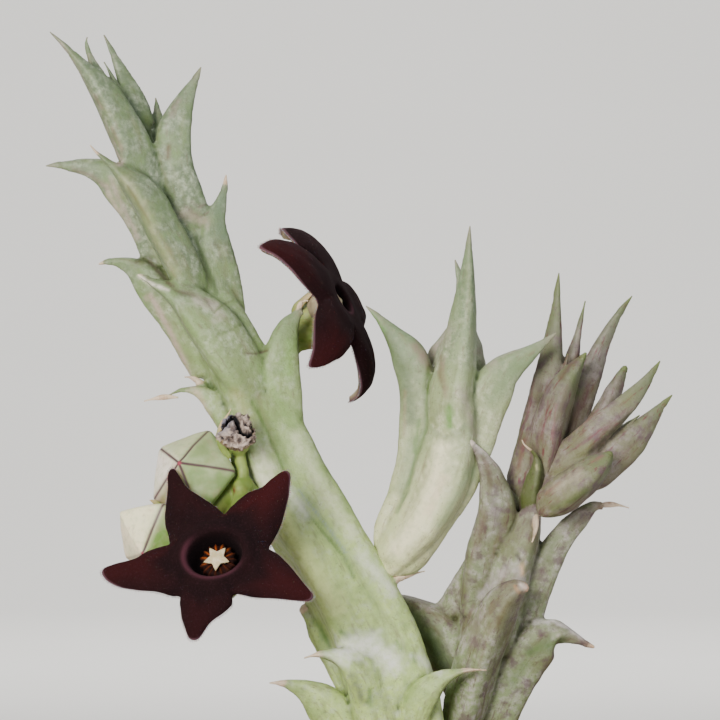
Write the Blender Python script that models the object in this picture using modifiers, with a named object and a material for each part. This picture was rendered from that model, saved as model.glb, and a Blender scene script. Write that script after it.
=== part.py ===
"""Potted caralluma hesperidum in flower: three four-angled stems with pointed teeth, two dark star
flowers, two buds and a withered flower, standing in gritty soil in a plain terracotta pot.

Lengths below are millimetres. X runs to the right, Y away from the viewer and Z up, from the middle
of the pot's foot. Every point of the plant is (x, y, z) in that frame.
"""

import math
import random

import bmesh
import bpy
import numpy as np

MM = 0.001
CLEARANCE = 0.3
OBJECT_NAME = "potted_caralluma"

# Pot: a plain flower pot with a rim band and one drain hole
POT_HEIGHT = 75.0
RIM_RADIUS = 42.5
RIM_BAND = 17.0
RIM_STEP = 3.6
FOOT_RADIUS = 29.0
POT_WALL = 4.0
POT_FLOOR = 5.0
POT_EASE = 1.5
DRAIN_RADIUS = 5.25
POT_SIDES = 40

# Soil: fills the pot to this height, with grit standing out of its top
SOIL_TOP = 66.0
SOIL_SIDES = 40
SOIL_RINGS = 11
STONE_COUNT = 90
STONE_RADIUS = (1.2, 3.2)
STONE_RISE = (0.3, 0.6)
STONE_REACH = 34.0
STONE_SEED = 7
STEM_FOOT = 54.0

# A tooth: eight sides and full width as far as its shoulder; a thin one has six sides, a sepal four
TOOTH_BEVEL = 2
THIN_BEVEL = 1
SEPAL_BEVEL = 0
THIN_WIDTH = 1.5
TOOTH_STEPS = 5
THIN_STEPS = 3
STALK_STEPS = 6
STALK_RUN = 1.2
STALK_GAP = 0.5
SEPAL_RADII = [0.45, 0.42, 0.3]
SHOULDER = 0.35
TIP_RADIUS = 0.16

# Flowers: a deep cup, a raised ring round its mouth, and five lobes
CUP_PROFILE = [
    (0.0, -2.8), (1.8, -2.7), (2.4, -1.6), (2.72, -0.1), (3.1, 0.4), (3.7, 0.45), (4.25, 0.2),
]
NOTCH_RADIUS = 4.95
LOBE_BULGE = 0.14
PETAL_THICKNESS = 0.62
COLUMNS_PER_LOBE = 8
LIMB_ROWS = 4

# Corona: an orange ring of five arms, and a cream star on a short column
RING_BOTTOM = -2.45
RING_TOP = -1.6
RING_HOLE = 0.9
RING_RADIUS = 1.5
RING_ARM = 0.3
STAR_BOTTOM = -1.3
STAR_TOP = -1.0
STAR_TIP = 1.3
STAR_NOTCH = 0.72
COLUMN_RADIUS = 0.6


# Colour and roughness of each kind of surface
LOOKS = {
    "left stem": ((0.42, 0.52, 0.36), 0.6),
    "middle stem": ((0.52, 0.60, 0.40), 0.6),
    "right stem": ((0.36, 0.36, 0.30), 0.65),
    "stalk": ((0.33, 0.46, 0.15), 0.6),
    "corolla": ((0.06, 0.004, 0.01), 0.8),
    "corona": ((0.35, 0.08, 0.02), 0.5),
    "star": ((0.85, 0.80, 0.55), 0.45),
    "bud": ((0.60, 0.68, 0.42), 0.5),
    "withered": ((0.25, 0.20, 0.22), 0.8),
    "pot": ((0.56, 0.20, 0.09), 0.85),
    "soil": ((0.08, 0.055, 0.035), 0.95),
}
# Edges sharper than these angles are shaded hard
USUAL_SHARP = 40.0
SOIL_SHARP = 25.0
BUD_SHARP = 20.0


def tooth(base, shoulder, tip, width, taper=1.0, tip_radius=TIP_RADIUS):
    """One tooth: where it leaves the stem, the point its middle line passes, its tip and its width."""
    return dict(base=base, shoulder=shoulder, tip=tip, width=width, taper=taper, tip_radius=tip_radius)


LEFT_STEM = dict(
    spine=[
        (-4.2, 0.6, STEM_FOOT), (-3.9, 0.6, 66.0), (-4.0, 0.5, 76.0), (-4.8, 0.4, 82.0), (-6.5, 0.3, 87.5),
        (-8.6, 0.2, 92.0), (-11.4, 0.0, 97.0), (-14.5, 0.0, 102.0), (-16.8, 0.0, 107.0),
        (-18.9, 0.0, 112.0),
        (-21.7, 0.2, 118.2), (-23.6, 0.3, 121.6), (-25.7, 0.5, 127.0), (-27.7, 0.8, 131.4),
        (-29.6, 1.0, 136.0), (-30.9, 1.1, 140.0),
    ],
    radii=[4.5, 4.6, 4.8, 4.9, 4.8, 4.6, 4.5, 4.6, 4.3, 3.9, 3.4, 3.3, 3.1, 2.9, 2.3, 1.2],
    twist=(45.0, 8.0),
    ridge=0.07,
    columns=16,
    rows=30,
    teeth=[
        # crown
        tooth((-29.2, -1.2, 133.2), (-32.0, -2.0, 140.2), (-38.9, -3.0, 148.7), 4.0, 0.95),
        tooth((-29.4, 1.4, 137.0), (-31.2, 1.6, 142.8), (-33.7, 1.8, 148.6), 2.6),
        tooth((-31.2, 0.4, 139.2), (-34.6, 0.5, 145.4), (-35.3, 0.6, 148.3), 1.5, 1.3),
        tooth((-31.0, 0.6, 139.6), (-32.5, 0.3, 143.6), (-33.6, 0.2, 145.8), 0.8),
        tooth((-28.6, 3.0, 137.0), (-28.4, 3.6, 140.0), (-28.6, 3.9, 142.4), 1.8),
        tooth((-25.7, 0.0, 130.5), (-26.6, -0.8, 138.0), (-23.9, -1.0, 145.3), 3.7),
        # left and front, downwards
        tooth((-28.0, 0.0, 127.5), (-32.2, 0.0, 134.0), (-39.4, 0.2, 135.4), 2.9, 1.1),
        tooth((-24.4, -2.4, 123.0), (-29.6, -3.2, 132.8), (-34.0, -4.2, 136.6), 4.4, 1.25, 0.14),
        tooth((-34.0, -4.2, 136.3), (-34.5, -4.4, 137.0), (-35.0, -4.7, 137.5), 0.5),
        tooth((-24.8, 0.4, 118.4), (-29.6, 0.2, 124.9), (-34.1, 0.2, 125.7), 2.9, 1.25),
        tooth((-19.8, -3.2, 112.0), (-26.6, -3.9, 122.0), (-30.2, -4.6, 124.6), 3.9, 1.2),
        tooth((-20.6, -0.8, 108.5), (-23.6, -1.2, 112.6), (-27.2, -1.4, 112.4), 1.8, 1.1),
        tooth((-26.8, -1.4, 112.4), (-28.2, -1.5, 112.2), (-29.5, -1.6, 111.9), 0.5),
        tooth((-23.2, -0.2, 112.4), (-24.2, -0.4, 113.9), (-25.5, -0.6, 114.3), 1.0),
        # right, downwards
        tooth((-19.4, 0.3, 116.6), (-22.6, 0.4, 126.6), (-21.5, 0.4, 134.4), 3.7, 1.1),
        tooth((-15.2, -0.6, 106.5), (-16.5, -1.2, 116.9), (-14.0, -1.4, 121.2), 3.5, 1.2, 0.3),
        tooth((-14.2, -1.4, 120.8), (-13.9, -1.5, 121.7), (-13.2, -1.7, 121.9), 0.6),
        # foot
        tooth((-10.0, 1.8, 84.5), (-12.6, 2.2, 89.4), (-13.9, 2.2, 91.0), 2.2, 1.0, 0.5),
        tooth((-6.8, -2.8, 82.0), (-9.4, -4.4, 86.2), (-13.5, -5.0, 86.5), 2.9, 1.1),
        tooth((-8.6, -0.6, 78.0), (-12.4, -1.2, 82.5), (-17.0, -1.6, 83.8), 4.0, 1.1),
        tooth((-6.2, -0.8, 91.0), (-4.5, -1.2, 93.2), (-1.6, -1.4, 94.95), 0.9, 1.1),
        tooth((-3.4, -2.6, 79.0), (-0.4, -4.4, 84.0), (4.5, -5.2, 85.3), 2.9, 1.25),
        # back, out of the photograph's sight
        tooth((-13.2, 3.2, 97.0), (-15.6, 6.4, 102.6), (-19.0, 8.6, 105.6), 3.6, 1.15),
        tooth((-19.6, 3.2, 112.4), (-22.6, 6.0, 119.0), (-26.6, 7.8, 121.4), 3.6, 1.15),
        tooth((-24.6, 3.0, 124.6), (-27.6, 5.0, 131.0), (-31.4, 6.6, 133.6), 3.2, 1.15),
        tooth((-6.4, 3.4, 82.0), (-6.6, 6.6, 86.4), (-8.6, 9.2, 88.8), 3.4, 1.15),
    ],
)

MIDDLE_STEM = dict(
    spine=[
        (-5.0, -1.0, 94.9), (-4.4, -1.0, 95.9), (-3.4, -1.0, 97.4), (-1.9, -1.0, 99.8), (-0.9, -1.0, 102.2),
        (-0.2, -1.0, 105.2), (0.3, -1.0, 108.4), (0.6, -0.9, 111.8), (0.9, -0.6, 115.2), (1.1, -0.3, 118.2),
    ],
    radii=[1.4, 2.6, 3.0, 3.2, 3.4, 3.7, 4.0, 4.1, 3.4, 1.6],
    twist=(40.0, 10.0),
    ridge=0.05,
    columns=16,
    rows=12,
    teeth=[
        tooth((-1.4, -0.8, 104.6), (-3.7, -0.8, 113.8), (-7.35, -0.6, 121.4), 4.1, 1.15),
        tooth((0.4, -2.4, 104.5), (1.2, -2.8, 115.4), (3.0, -3.2, 129.4), 4.6, 1.0),
        tooth((0.8, 0.8, 113.0), (1.2, 0.9, 120.0), (1.5, 0.8, 126.0), 2.0),
        tooth((2.2, -1.0, 104.4), (5.2, -1.6, 114.0), (11.7, -3.2, 118.8), 4.4, 0.85),
        tooth((1.2, 2.2, 106.5), (2.6, 3.8, 116.2), (2.2, 4.6, 122.6), 3.8, 1.15),
    ],
)

RIGHT_STEM = dict(
    spine=[
        (5.4, 4.6, STEM_FOOT), (4.4, 4.6, 66.0), (3.4, 4.4, 76.0), (3.7, 4.0, 82.0), (4.6, 3.5, 88.0),
        (5.9, 3.0, 94.0), (7.1, 2.4, 99.0), (8.0, 2.0, 102.4), (8.5, 1.8, 104.2),
    ],
    radii=[3.1, 3.1, 3.0, 3.1, 3.4, 3.5, 3.2, 2.4, 1.0],
    twist=(40.0, 20.0),
    ridge=0.07,
    columns=16,
    rows=16,
    teeth=[
        # front finger with its orange tip
        tooth((2.2, 0.6, 78.5), (4.0, -1.8, 89.2), (8.7, -4.6, 93.2), 4.7, 0.8, 0.6),
        tooth((5.8, 1.4, 91.0), (7.6, -0.4, 97.0), (9.5, -2.0, 100.9), 4.0, 0.9, 0.5),
        tooth((9.5, -2.0, 100.6), (9.3, -3.0, 100.2), (9.3, -3.3, 97.9), 0.5),
        # left, right and behind
        tooth((4.4, 1.6, 92.0), (4.8, -1.6, 103.2), (2.7, -4.9, 108.4), 4.5, 1.15),
        tooth((7.9, 1.6, 88.6), (11.9, 0.8, 98.6), (16.6, 0.4, 101.6), 3.9, 0.9, 0.4),
        tooth((16.3, 0.4, 101.5), (17.6, 0.4, 101.5), (18.9, 0.4, 101.2), 0.5),
        tooth((5.0, 2.8, 78.0), (9.4, 1.6, 88.4), (15.0, 0.8, 87.4), 4.6, 1.15, 0.3),
        tooth((3.0, 4.2, 82.0), (0.4, 4.9, 89.6), (-4.6, 5.4, 92.7), 4.6, 1.2),
        tooth((8.6, 0.8, 99.0), (9.1, 0.2, 105.4), (8.1, -0.6, 107.8), 2.2, 1.1),
        tooth((5.6, 5.4, 90.0), (7.4, 8.8, 95.6), (7.6, 11.4, 98.6), 3.6, 1.15),
    ],
)

UPPER_SHOOT = dict(
    spine=[(8.0, 1.4, 101.6), (8.5, 1.2, 104.0), (9.6, 0.9, 107.4), (10.9, 0.6, 111.0), (12.2, 0.4, 114.0)],
    radii=[1.6, 2.4, 2.4, 2.1, 1.2],
    twist=(20.0, 20.0),
    ridge=0.05,
    columns=12,
    rows=6,
    teeth=[
        tooth((7.9, 0.8, 104.0), (9.8, 0.9, 113.6), (11.95, 1.0, 124.75), 3.5, 1.05),
        tooth((10.1, -0.2, 104.4), (11.9, -1.6, 112.4), (14.6, -2.6, 116.7), 3.6, 0.95),
        tooth((12.4, 1.2, 112.0), (13.5, 1.5, 117.0), (14.6, 1.6, 121.9), 1.5),
        tooth((12.2, 0.8, 108.0), (15.3, 1.0, 115.2), (19.25, 1.0, 122.35), 2.9, 1.05),
        tooth((11.0, 2.0, 105.6), (12.9, 4.2, 111.8), (15.2, 5.6, 117.6), 3.2, 1.05),
        tooth((11.8, 0.3, 112.4), (12.5, 0.0, 115.2), (12.75, -0.3, 116.6), 0.8),
    ],
)

SIDE_SHOOT = dict(
    spine=[
        (8.6, 0.8, 101.2), (10.2, -0.4, 102.4), (12.2, -1.4, 103.8), (14.2, -2.0, 105.4), (15.8, -2.2, 106.8),
    ],
    radii=[1.4, 2.2, 2.3, 2.1, 1.4],
    twist=(0.0, 0.0),
    ridge=0.05,
    columns=12,
    rows=6,
    teeth=[
        tooth((10.4, -1.2, 103.8), (16.3, -3.0, 110.4), (22.05, -3.4, 115.95), 3.0, 1.0),
        tooth((14.4, -0.4, 108.0), (17.0, -0.2, 112.0), (18.6, 0.0, 115.3), 2.4, 0.9, 0.35),
        tooth((13.6, -1.8, 103.6), (19.2, -2.0, 107.4), (23.2, -2.2, 112.45), 3.4, 1.05),
        tooth((10.6, -3.0, 101.4), (13.6, -4.6, 104.2), (16.9, -5.2, 106.6), 4.2, 0.6, 0.9),
        tooth((14.6, -2.2, 106.2), (15.8, -2.2, 107.6), (17.2, -2.2, 108.8), 1.8, 1.0),
        tooth((15.2, -2.2, 106.2), (18.2, -2.4, 109.0), (19.8, -2.4, 110.5), 0.8),
        tooth((13.2, 0.2, 104.6), (16.6, 2.6, 107.6), (20.2, 4.6, 110.4), 2.8, 1.05),
    ],
)

FRONT_FLOWER = dict(
    centre=(-22.15, -13.5, 97.15),
    normal=(-0.18, -0.86, 0.46),
    # azimuth from the right, length and backward curl at the tip of each lobe
    lobes=[
        (-27.7, 11.4, 7.0), (51.4, 11.7, 7.0), (114.1, 11.6, 7.0), (183.5, 11.8, 7.0), (256.8, 9.5, 8.0),
    ],
    curl_power=1.2,
    arch=0.035,
)

SIDE_FLOWER = dict(
    centre=(-9.7, 2.5, 122.2),
    normal=(0.85, -0.26, 0.46),
    lobes=[
        (-8.0, 7.4, 12.0), (54.0, 13.0, 66.0), (130.0, 12.4, 68.0), (209.0, 12.2, 104.0),
        (275.0, 12.6, 112.0),
    ],
    curl_power=1.6,
    arch=0.09,
)

UPPER_BUD = dict(centre=(-24.75, -4.5, 104.85), axis=(-0.38, -0.86, 0.35), radius=4.8, turn=66.0)
LOWER_BUD = dict(centre=(-28.7, -5.6, 98.1), axis=(-0.42, -0.74, -0.52), radius=4.1, turn=48.0)
# radius and height of a bud's section, as shares of its radius, from its point to its foot
BUD_PROFILE = [
    (0.0, 0.62), (0.5, 0.36), (0.93, 0.05), (1.0, -0.03), (0.95, -0.16), (0.72, -0.42), (0.4, -0.62),
    (0.0, -0.64),
]

WITHERED = dict(centre=(-20.1, -7.0, 108.7), axis=(-0.1, -0.88, 0.45), radius=1.75)


def unit(vector):
    vector = np.asarray(vector, float)
    return vector / np.linalg.norm(vector)


def flower_axes(normal):
    """Right, up and outward directions of a flower that looks along its normal."""
    outward = unit(normal)
    right = unit(np.array([1.0, 0.0, 0.0]) - outward[0] * outward)
    if abs(outward[0]) > 0.7:
        right = unit(np.array([0.0, 1.0, 0.0]) - outward[1] * outward)
    return right, np.cross(outward, right), outward


def placed(local, centre, normal):
    """Points given as right, up and outward lengths of a flower, in the frame of the pot."""
    right, up, outward = flower_axes(normal)
    return np.asarray(centre) + local[:, :1] * right + local[:, 1:2] * up + local[:, 2:] * outward


def curve_through(points, count):
    """Evenly counted points on a Catmull-Rom curve through the given ones."""
    points = np.asarray(points, float)
    padded = np.vstack([2 * points[0] - points[1], points, 2 * points[-1] - points[-2]])
    place = np.linspace(0.0, len(points) - 1.0, count)
    index = np.minimum(place.astype(int), len(points) - 2)
    t = (place - index)[:, None]
    before, start, end, after = (padded[index + step] for step in range(4))
    return 0.5 * (
        2 * start + (end - before) * t
        + (2 * before - 5 * start + 4 * end - after) * t ** 2
        + (3 * start - before - 3 * end + after) * t ** 3
    )


def link(mesh, name, collection):
    obj = bpy.data.objects.new(name, mesh)
    collection.objects.link(obj)
    return obj


def shaped_grid(name, columns, rows, shape, collection, closed=True):
    """A grid primitive whose point at (u, v) goes to shape(u, v); equal points are merged."""
    bm = bmesh.new()
    bmesh.ops.create_grid(bm, x_segments=columns, y_segments=rows, size=1.0)
    flat = np.array([vert.co for vert in bm.verts])
    points = shape((flat[:, 0] + 1) / 2, (flat[:, 1] + 1) / 2) * MM
    for vert, point in zip(bm.verts, points):
        vert.co = point
    bmesh.ops.remove_doubles(bm, verts=bm.verts, dist=1e-6)
    bmesh.ops.dissolve_degenerate(bm, dist=1e-7, edges=bm.edges)
    if closed:
        bmesh.ops.recalc_face_normals(bm, faces=bm.faces)
    mesh = bpy.data.meshes.new(name)
    bm.to_mesh(mesh)
    bm.free()
    return link(mesh, name, collection)


def tube(name, points, radii, collection, resolution=TOOTH_BEVEL):
    """A closed tube along the points, from a curve with a bevel and filled caps."""
    curve = bpy.data.curves.new(name, "CURVE")
    curve.dimensions = "3D"
    curve.bevel_depth = MM
    curve.bevel_resolution = resolution
    curve.use_fill_caps = True
    spline = curve.splines.new("POLY")
    spline.points.add(len(points) - 1)
    for knot, point, radius in zip(spline.points, points, radii):
        knot.co = (*(np.asarray(point) * MM), 1.0)
        knot.radius = radius
    guide = link(curve, name + "_path", collection)
    bpy.context.view_layer.update()
    graph = bpy.context.evaluated_depsgraph_get()
    mesh = bpy.data.meshes.new_from_object(guide.evaluated_get(graph))
    bpy.data.objects.remove(guide)
    bm = bmesh.new()
    bm.from_mesh(mesh)
    bmesh.ops.remove_doubles(bm, verts=bm.verts, dist=1e-6)
    bmesh.ops.recalc_face_normals(bm, faces=bm.faces)
    bm.to_mesh(mesh)
    bm.free()
    return link(mesh, name, collection)


def tooth_tube(name, spec, grow, collection):
    """The middle line is a parabola through base, shoulder and tip; the width falls from the shoulder on."""
    base, shoulder, tip = (np.array(spec[key]) for key in ("base", "shoulder", "tip"))
    handle = 2 * shoulder - 0.5 * (base + tip)
    thin = spec["width"] <= THIN_WIDTH
    t = np.linspace(0.0, 1.0, (THIN_STEPS if thin else TOOTH_STEPS) + 1)[:, None]
    points = (1 - t) ** 2 * base + 2 * t * (1 - t) * handle + t ** 2 * tip
    fall = np.minimum(1.0, (1 - t[:, 0]) / (1 - SHOULDER)) ** spec["taper"]
    radii = np.maximum(0.5 * spec["width"] * fall, spec["tip_radius"]) + grow
    points[0] -= grow * unit(points[1] - points[0])
    points[-1] += grow * unit(points[-1] - points[-2])
    return tube(name, points, radii, collection, THIN_BEVEL if thin else TOOTH_BEVEL)


def stem_core(name, spec, grow, collection):
    """A loft along the spine whose round section swells along four angles, which turn with the twist."""
    spine = curve_through(spec["spine"], spec["rows"] + 1)
    radii = np.interp(
        np.linspace(0, 1, spec["rows"] + 1), np.linspace(0, 1, len(spec["radii"])), spec["radii"]
    )
    along = np.gradient(spine, axis=0)
    along /= np.linalg.norm(along, axis=1)[:, None]
    side = np.cross(along, (0.0, -1.0, 0.0))
    side /= np.linalg.norm(side, axis=1)[:, None]
    front = np.cross(side, along)
    twist = np.radians(np.linspace(spec["twist"][0], spec["twist"][1], spec["rows"] + 1))
    spine[0] -= grow * along[0]
    spine[-1] += grow * along[-1]

    def shape(u, v):
        ring = np.rint(v * spec["rows"]).astype(int)
        angle = 2 * math.pi * u
        swell = 1 + spec["ridge"] * np.cos(4 * (angle - twist[ring]))
        reach = (radii[ring] * swell + grow)[:, None]
        across = np.cos(angle)[:, None] * side[ring] + np.sin(angle)[:, None] * front[ring]
        return spine[ring] + reach * across

    core = shaped_grid(name, spec["columns"], spec["rows"], shape, collection, closed=False)
    bm = bmesh.new()
    bm.from_mesh(core.data)
    bmesh.ops.holes_fill(bm, edges=[edge for edge in bm.edges if edge.is_boundary])
    bmesh.ops.recalc_face_normals(bm, faces=bm.faces)
    bm.to_mesh(core.data)
    bm.free()
    return core


def applied(obj):
    """The object's mesh with its modifiers worked into it."""
    bpy.context.view_layer.update()
    graph = bpy.context.evaluated_depsgraph_get()
    mesh = bpy.data.meshes.new_from_object(obj.evaluated_get(graph))
    obj.modifiers.clear()
    obj.data = mesh
    mesh.name = obj.name
    return obj


def fused(body, pieces):
    """Joins the pieces to the body by one Boolean union on their collection, and removes them."""
    group = bpy.data.collections.new(body.name + "_pieces")
    bpy.context.scene.collection.children.link(group)
    for piece in pieces:
        for holder in list(piece.users_collection):
            holder.objects.unlink(piece)
        group.objects.link(piece)
    union = body.modifiers.new("joined", "BOOLEAN")
    union.operation = "UNION"
    union.operand_type = "COLLECTION"
    union.collection = group
    union.solver = "EXACT"
    applied(body)
    for piece in pieces:
        bpy.data.objects.remove(piece)
    bpy.data.collections.remove(group)
    return body


def cut(body, cutters):
    """Takes each cutter out of the body. Stems and stalks bend tightly, so the solver also looks at
    where a shape meets itself.
    """
    for cutter in cutters:
        difference = body.modifiers.new("cleared", "BOOLEAN")
        difference.operation = "DIFFERENCE"
        difference.object = cutter
        difference.solver = "EXACT"
        difference.use_self = True
        applied(body)
    return body


def stem(name, spec, collection, grow=0.0):
    core = stem_core(name, spec, grow, collection)
    teeth = [
        tooth_tube(f"{name}_tooth_{index}", each, grow, collection)
        for index, each in enumerate(spec["teeth"])
    ]
    return fused(core, teeth)


def stem_cutter(name, spec, cutters):
    """The stem again, larger by the clearance all round, to cut its neighbours with."""
    body = stem(name + "_cutter", spec, cutters, CLEARANCE)
    body.hide_render = True
    body.display_type = "WIRE"
    return body


def lobe_outline(angle, flower):
    """Distance from a flower's middle to its edge: straight-sided lobes with a bulge, tip to notch."""
    azimuths = np.radians([lobe[0] for lobe in flower["lobes"]])
    lengths = np.array([lobe[1] for lobe in flower["lobes"]])
    turned = (angle[:, None] - azimuths + math.pi) % (2 * math.pi) - math.pi
    nearest = np.abs(turned).argmin(axis=1)
    rows = np.arange(len(angle))
    offset = turned[rows, nearest]
    after = (np.roll(azimuths, -1) - azimuths) % (2 * math.pi) / 2
    before = (azimuths - np.roll(azimuths, 1)) % (2 * math.pi) / 2
    half = np.where(offset > 0, after[nearest], before[nearest])
    share = np.clip(np.abs(offset) / half, 0, 1)
    length = lengths[nearest]
    wedge = share * half
    straight = NOTCH_RADIUS * length * np.sin(half) / (
        NOTCH_RADIUS * np.sin(half - wedge) + length * np.sin(wedge)
    )
    return straight * (1 + LOBE_BULGE * np.sin(math.pi * share)), nearest, offset


def corolla(name, flower, collection):
    """Cup, raised ring and five lobes: rings of the cup's profile, then rings out to the lobes' edge.

    A lobe bends back by an angle that grows towards its tip, and droops a little to both sides.
    """
    inner = np.array(CUP_PROFILE)
    rows = len(inner) - 1 + LIMB_ROWS
    steps = np.linspace(0, 1, 200)

    def shape(u, v):
        ring = np.rint(v * rows).astype(int)
        angle = 2 * math.pi * u
        edge, lobe, offset = lobe_outline(angle, flower)
        start = inner[-1]
        spread = np.clip((ring - len(inner) + 1) / LIMB_ROWS, 0, 1)
        cup = np.minimum(ring, len(inner) - 1)
        reach = inner[cup, 0].copy()
        height = inner[cup, 1].copy()
        for index, (_, length, bend) in enumerate(flower["lobes"]):
            turn = math.radians(bend) * steps ** flower["curl_power"]
            span = length - start[0]
            out = np.concatenate([[0], np.cumsum(np.cos(turn[:-1]))]) * span / (len(steps) - 1)
            down = np.concatenate([[0], np.cumsum(np.sin(turn[:-1]))]) * span / (len(steps) - 1)
            mine = (lobe == index) & (spread > 0)
            travelled = spread[mine] * (edge[mine] - start[0]) / span
            reach[mine] = start[0] + np.interp(travelled, steps, out)
            height[mine] = start[1] - np.interp(travelled, steps, down)
            height[mine] -= flower["arch"] * spread[mine] * (reach[mine] * np.sin(offset[mine])) ** 2
        local = np.stack([reach * np.cos(angle), reach * np.sin(angle), height], axis=1)
        return placed(local, flower["centre"], flower["normal"])

    obj = shaped_grid(name, 5 * COLUMNS_PER_LOBE, rows, shape, collection, closed=False)
    # the open face of the cup looks along the normal
    bm = bmesh.new()
    bm.from_mesh(obj.data)
    bm.normal_update()
    outward = unit(flower["normal"])
    if sum(face.normal.dot(outward) * face.calc_area() for face in bm.faces) < 0:
        bmesh.ops.reverse_faces(bm, faces=bm.faces)
    bm.to_mesh(obj.data)
    bm.free()
    wall = obj.modifiers.new("flesh", "SOLIDIFY")
    wall.thickness = PETAL_THICKNESS * MM
    wall.offset = -1.0
    return obj


def corona_ring(name, flower, collection):
    """A five-armed ring: its outer radius waves five times round, and its section is a soft rectangle."""
    section = np.array([
        (0.0, RING_BOTTOM), (0.75, RING_BOTTOM), (1.0, 0.5 * (RING_BOTTOM + RING_TOP)), (0.8, RING_TOP),
        (0.1, RING_TOP), (0.0, 0.5 * (RING_BOTTOM + RING_TOP)), (0.0, RING_BOTTOM),
    ])
    first = math.radians(flower["lobes"][0][0])

    def shape(u, v):
        corner = np.rint(v * (len(section) - 1)).astype(int)
        angle = 2 * math.pi * u
        outer = RING_RADIUS + RING_ARM * np.cos(5 * (angle - first))
        reach = RING_HOLE + (outer - RING_HOLE) * section[corner, 0]
        local = np.stack([reach * np.cos(angle), reach * np.sin(angle), section[corner, 1]], axis=1)
        return placed(local, flower["centre"], flower["normal"])

    return shaped_grid(name, 20, len(section) - 1, shape, collection)


def corona_star(name, flower, collection):
    """A five-pointed star on a round column: the outline of each level, carried up from the cup's floor."""
    floor = RING_BOTTOM
    levels = [
        (0.0, floor, 0.0), (COLUMN_RADIUS, floor, 0.0), (COLUMN_RADIUS, STAR_BOTTOM - 0.02, 0.0),
        (1.0, STAR_BOTTOM, 1.0), (1.0, STAR_TOP, 1.0), (0.0, STAR_TOP + 0.12, 1.0),
    ]
    first = math.radians(flower["lobes"][0][0])

    def shape(u, v):
        level = np.array(levels)[np.rint(v * (len(levels) - 1)).astype(int)]
        angle = 2 * math.pi * u
        share = np.abs((angle - first) * 5 / math.pi % 2 - 1)
        star = STAR_NOTCH + (STAR_TIP - STAR_NOTCH) * share ** 1.6
        reach = level[:, 0] * np.where(level[:, 2] > 0.5, star, 1.0)
        local = np.stack([reach * np.cos(angle), reach * np.sin(angle), level[:, 1]], axis=1)
        return placed(local, flower["centre"], flower["normal"])

    return shaped_grid(name, 20, len(levels) - 1, shape, collection)


def bud(name, spec, collection):
    """A five-sided bud: a low pyramid with flat faces above its shoulder, drawn in to its foot below."""
    profile = np.array(BUD_PROFILE) * spec["radius"]
    corner = math.radians(spec["turn"])

    def shape(u, v):
        row = np.rint(v * (len(profile) - 1)).astype(int)
        angle = 2 * math.pi * u
        wedge = (angle - corner) % math.radians(72) - math.radians(36)
        flat = math.cos(math.radians(36)) / np.cos(wedge)
        roundness = np.clip(np.abs(row - 3) - 2, 0, 2) / 4 * (row > 3)
        reach = profile[row, 0] * (flat * (1 - roundness) + 0.9 * roundness)
        local = np.stack([reach * np.cos(angle), reach * np.sin(angle), profile[row, 1]], axis=1)
        return placed(local, spec["centre"], spec["axis"])

    return shaped_grid(name, 20, len(profile) - 1, shape, collection)


def withered(name, spec, collection):
    """A crumpled knob: a ball whose radius folds in and out round its axis and along it."""

    def shape(u, v):
        angle = 2 * math.pi * u
        lift = math.pi * (v - 0.5)
        waves = 0.2 * np.cos(5 * angle + 3 * lift) + 0.1 * np.cos(3 * angle - 4 * lift)
        folds = 1 + np.cos(lift) * waves
        reach = spec["radius"] * folds * np.cos(lift)
        height = spec["radius"] * (np.sin(lift) + 0.16 * np.cos(lift) * np.cos(5 * angle))
        local = np.stack([reach * np.cos(angle), reach * np.sin(angle), height], axis=1)
        return placed(local, spec["centre"], spec["axis"])

    return shaped_grid(name, 20, 8, shape, collection)


def calyx(name, foot, axis, reach, rise, collection, turn=0.0):
    """Five narrow sepals: out along the foot of a bud or flower, then up and outwards round it."""
    sepals = []
    away = np.array([0.0, 0.55, 1.0]) * reach
    height = np.array([-0.95, -0.85, rise])
    for index in range(5):
        angle = math.radians(turn + 72 * index)
        local = np.stack([away * math.cos(angle), away * math.sin(angle), height], axis=1)
        path = placed(local, foot, axis)
        sepals.append(tube(f"{name}_{index}", path, SEPAL_RADII, collection, SEPAL_BEVEL))
    return sepals


def back_of(thing, depth):
    """The point on a flower's or bud's axis that lies this far behind its centre."""
    return np.array(thing["centre"]) - depth * unit(thing.get("normal", thing.get("axis")))


def stalk(name, points, radii, collection):
    share = np.linspace(0, 1, STALK_STEPS + 1)
    widths = np.interp(share, np.linspace(0, 1, len(radii)), radii)
    return tube(name, curve_through(points, STALK_STEPS + 1), widths, collection, THIN_BEVEL)


def stalk_to(name, points, thing, depth, radii, collection):
    """A stalk that runs its last stretch along the axis of what it carries and stops short of it."""
    last = [back_of(thing, depth + STALK_RUN), back_of(thing, depth)]
    return stalk(name, [*points, *last], radii, collection)


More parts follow.
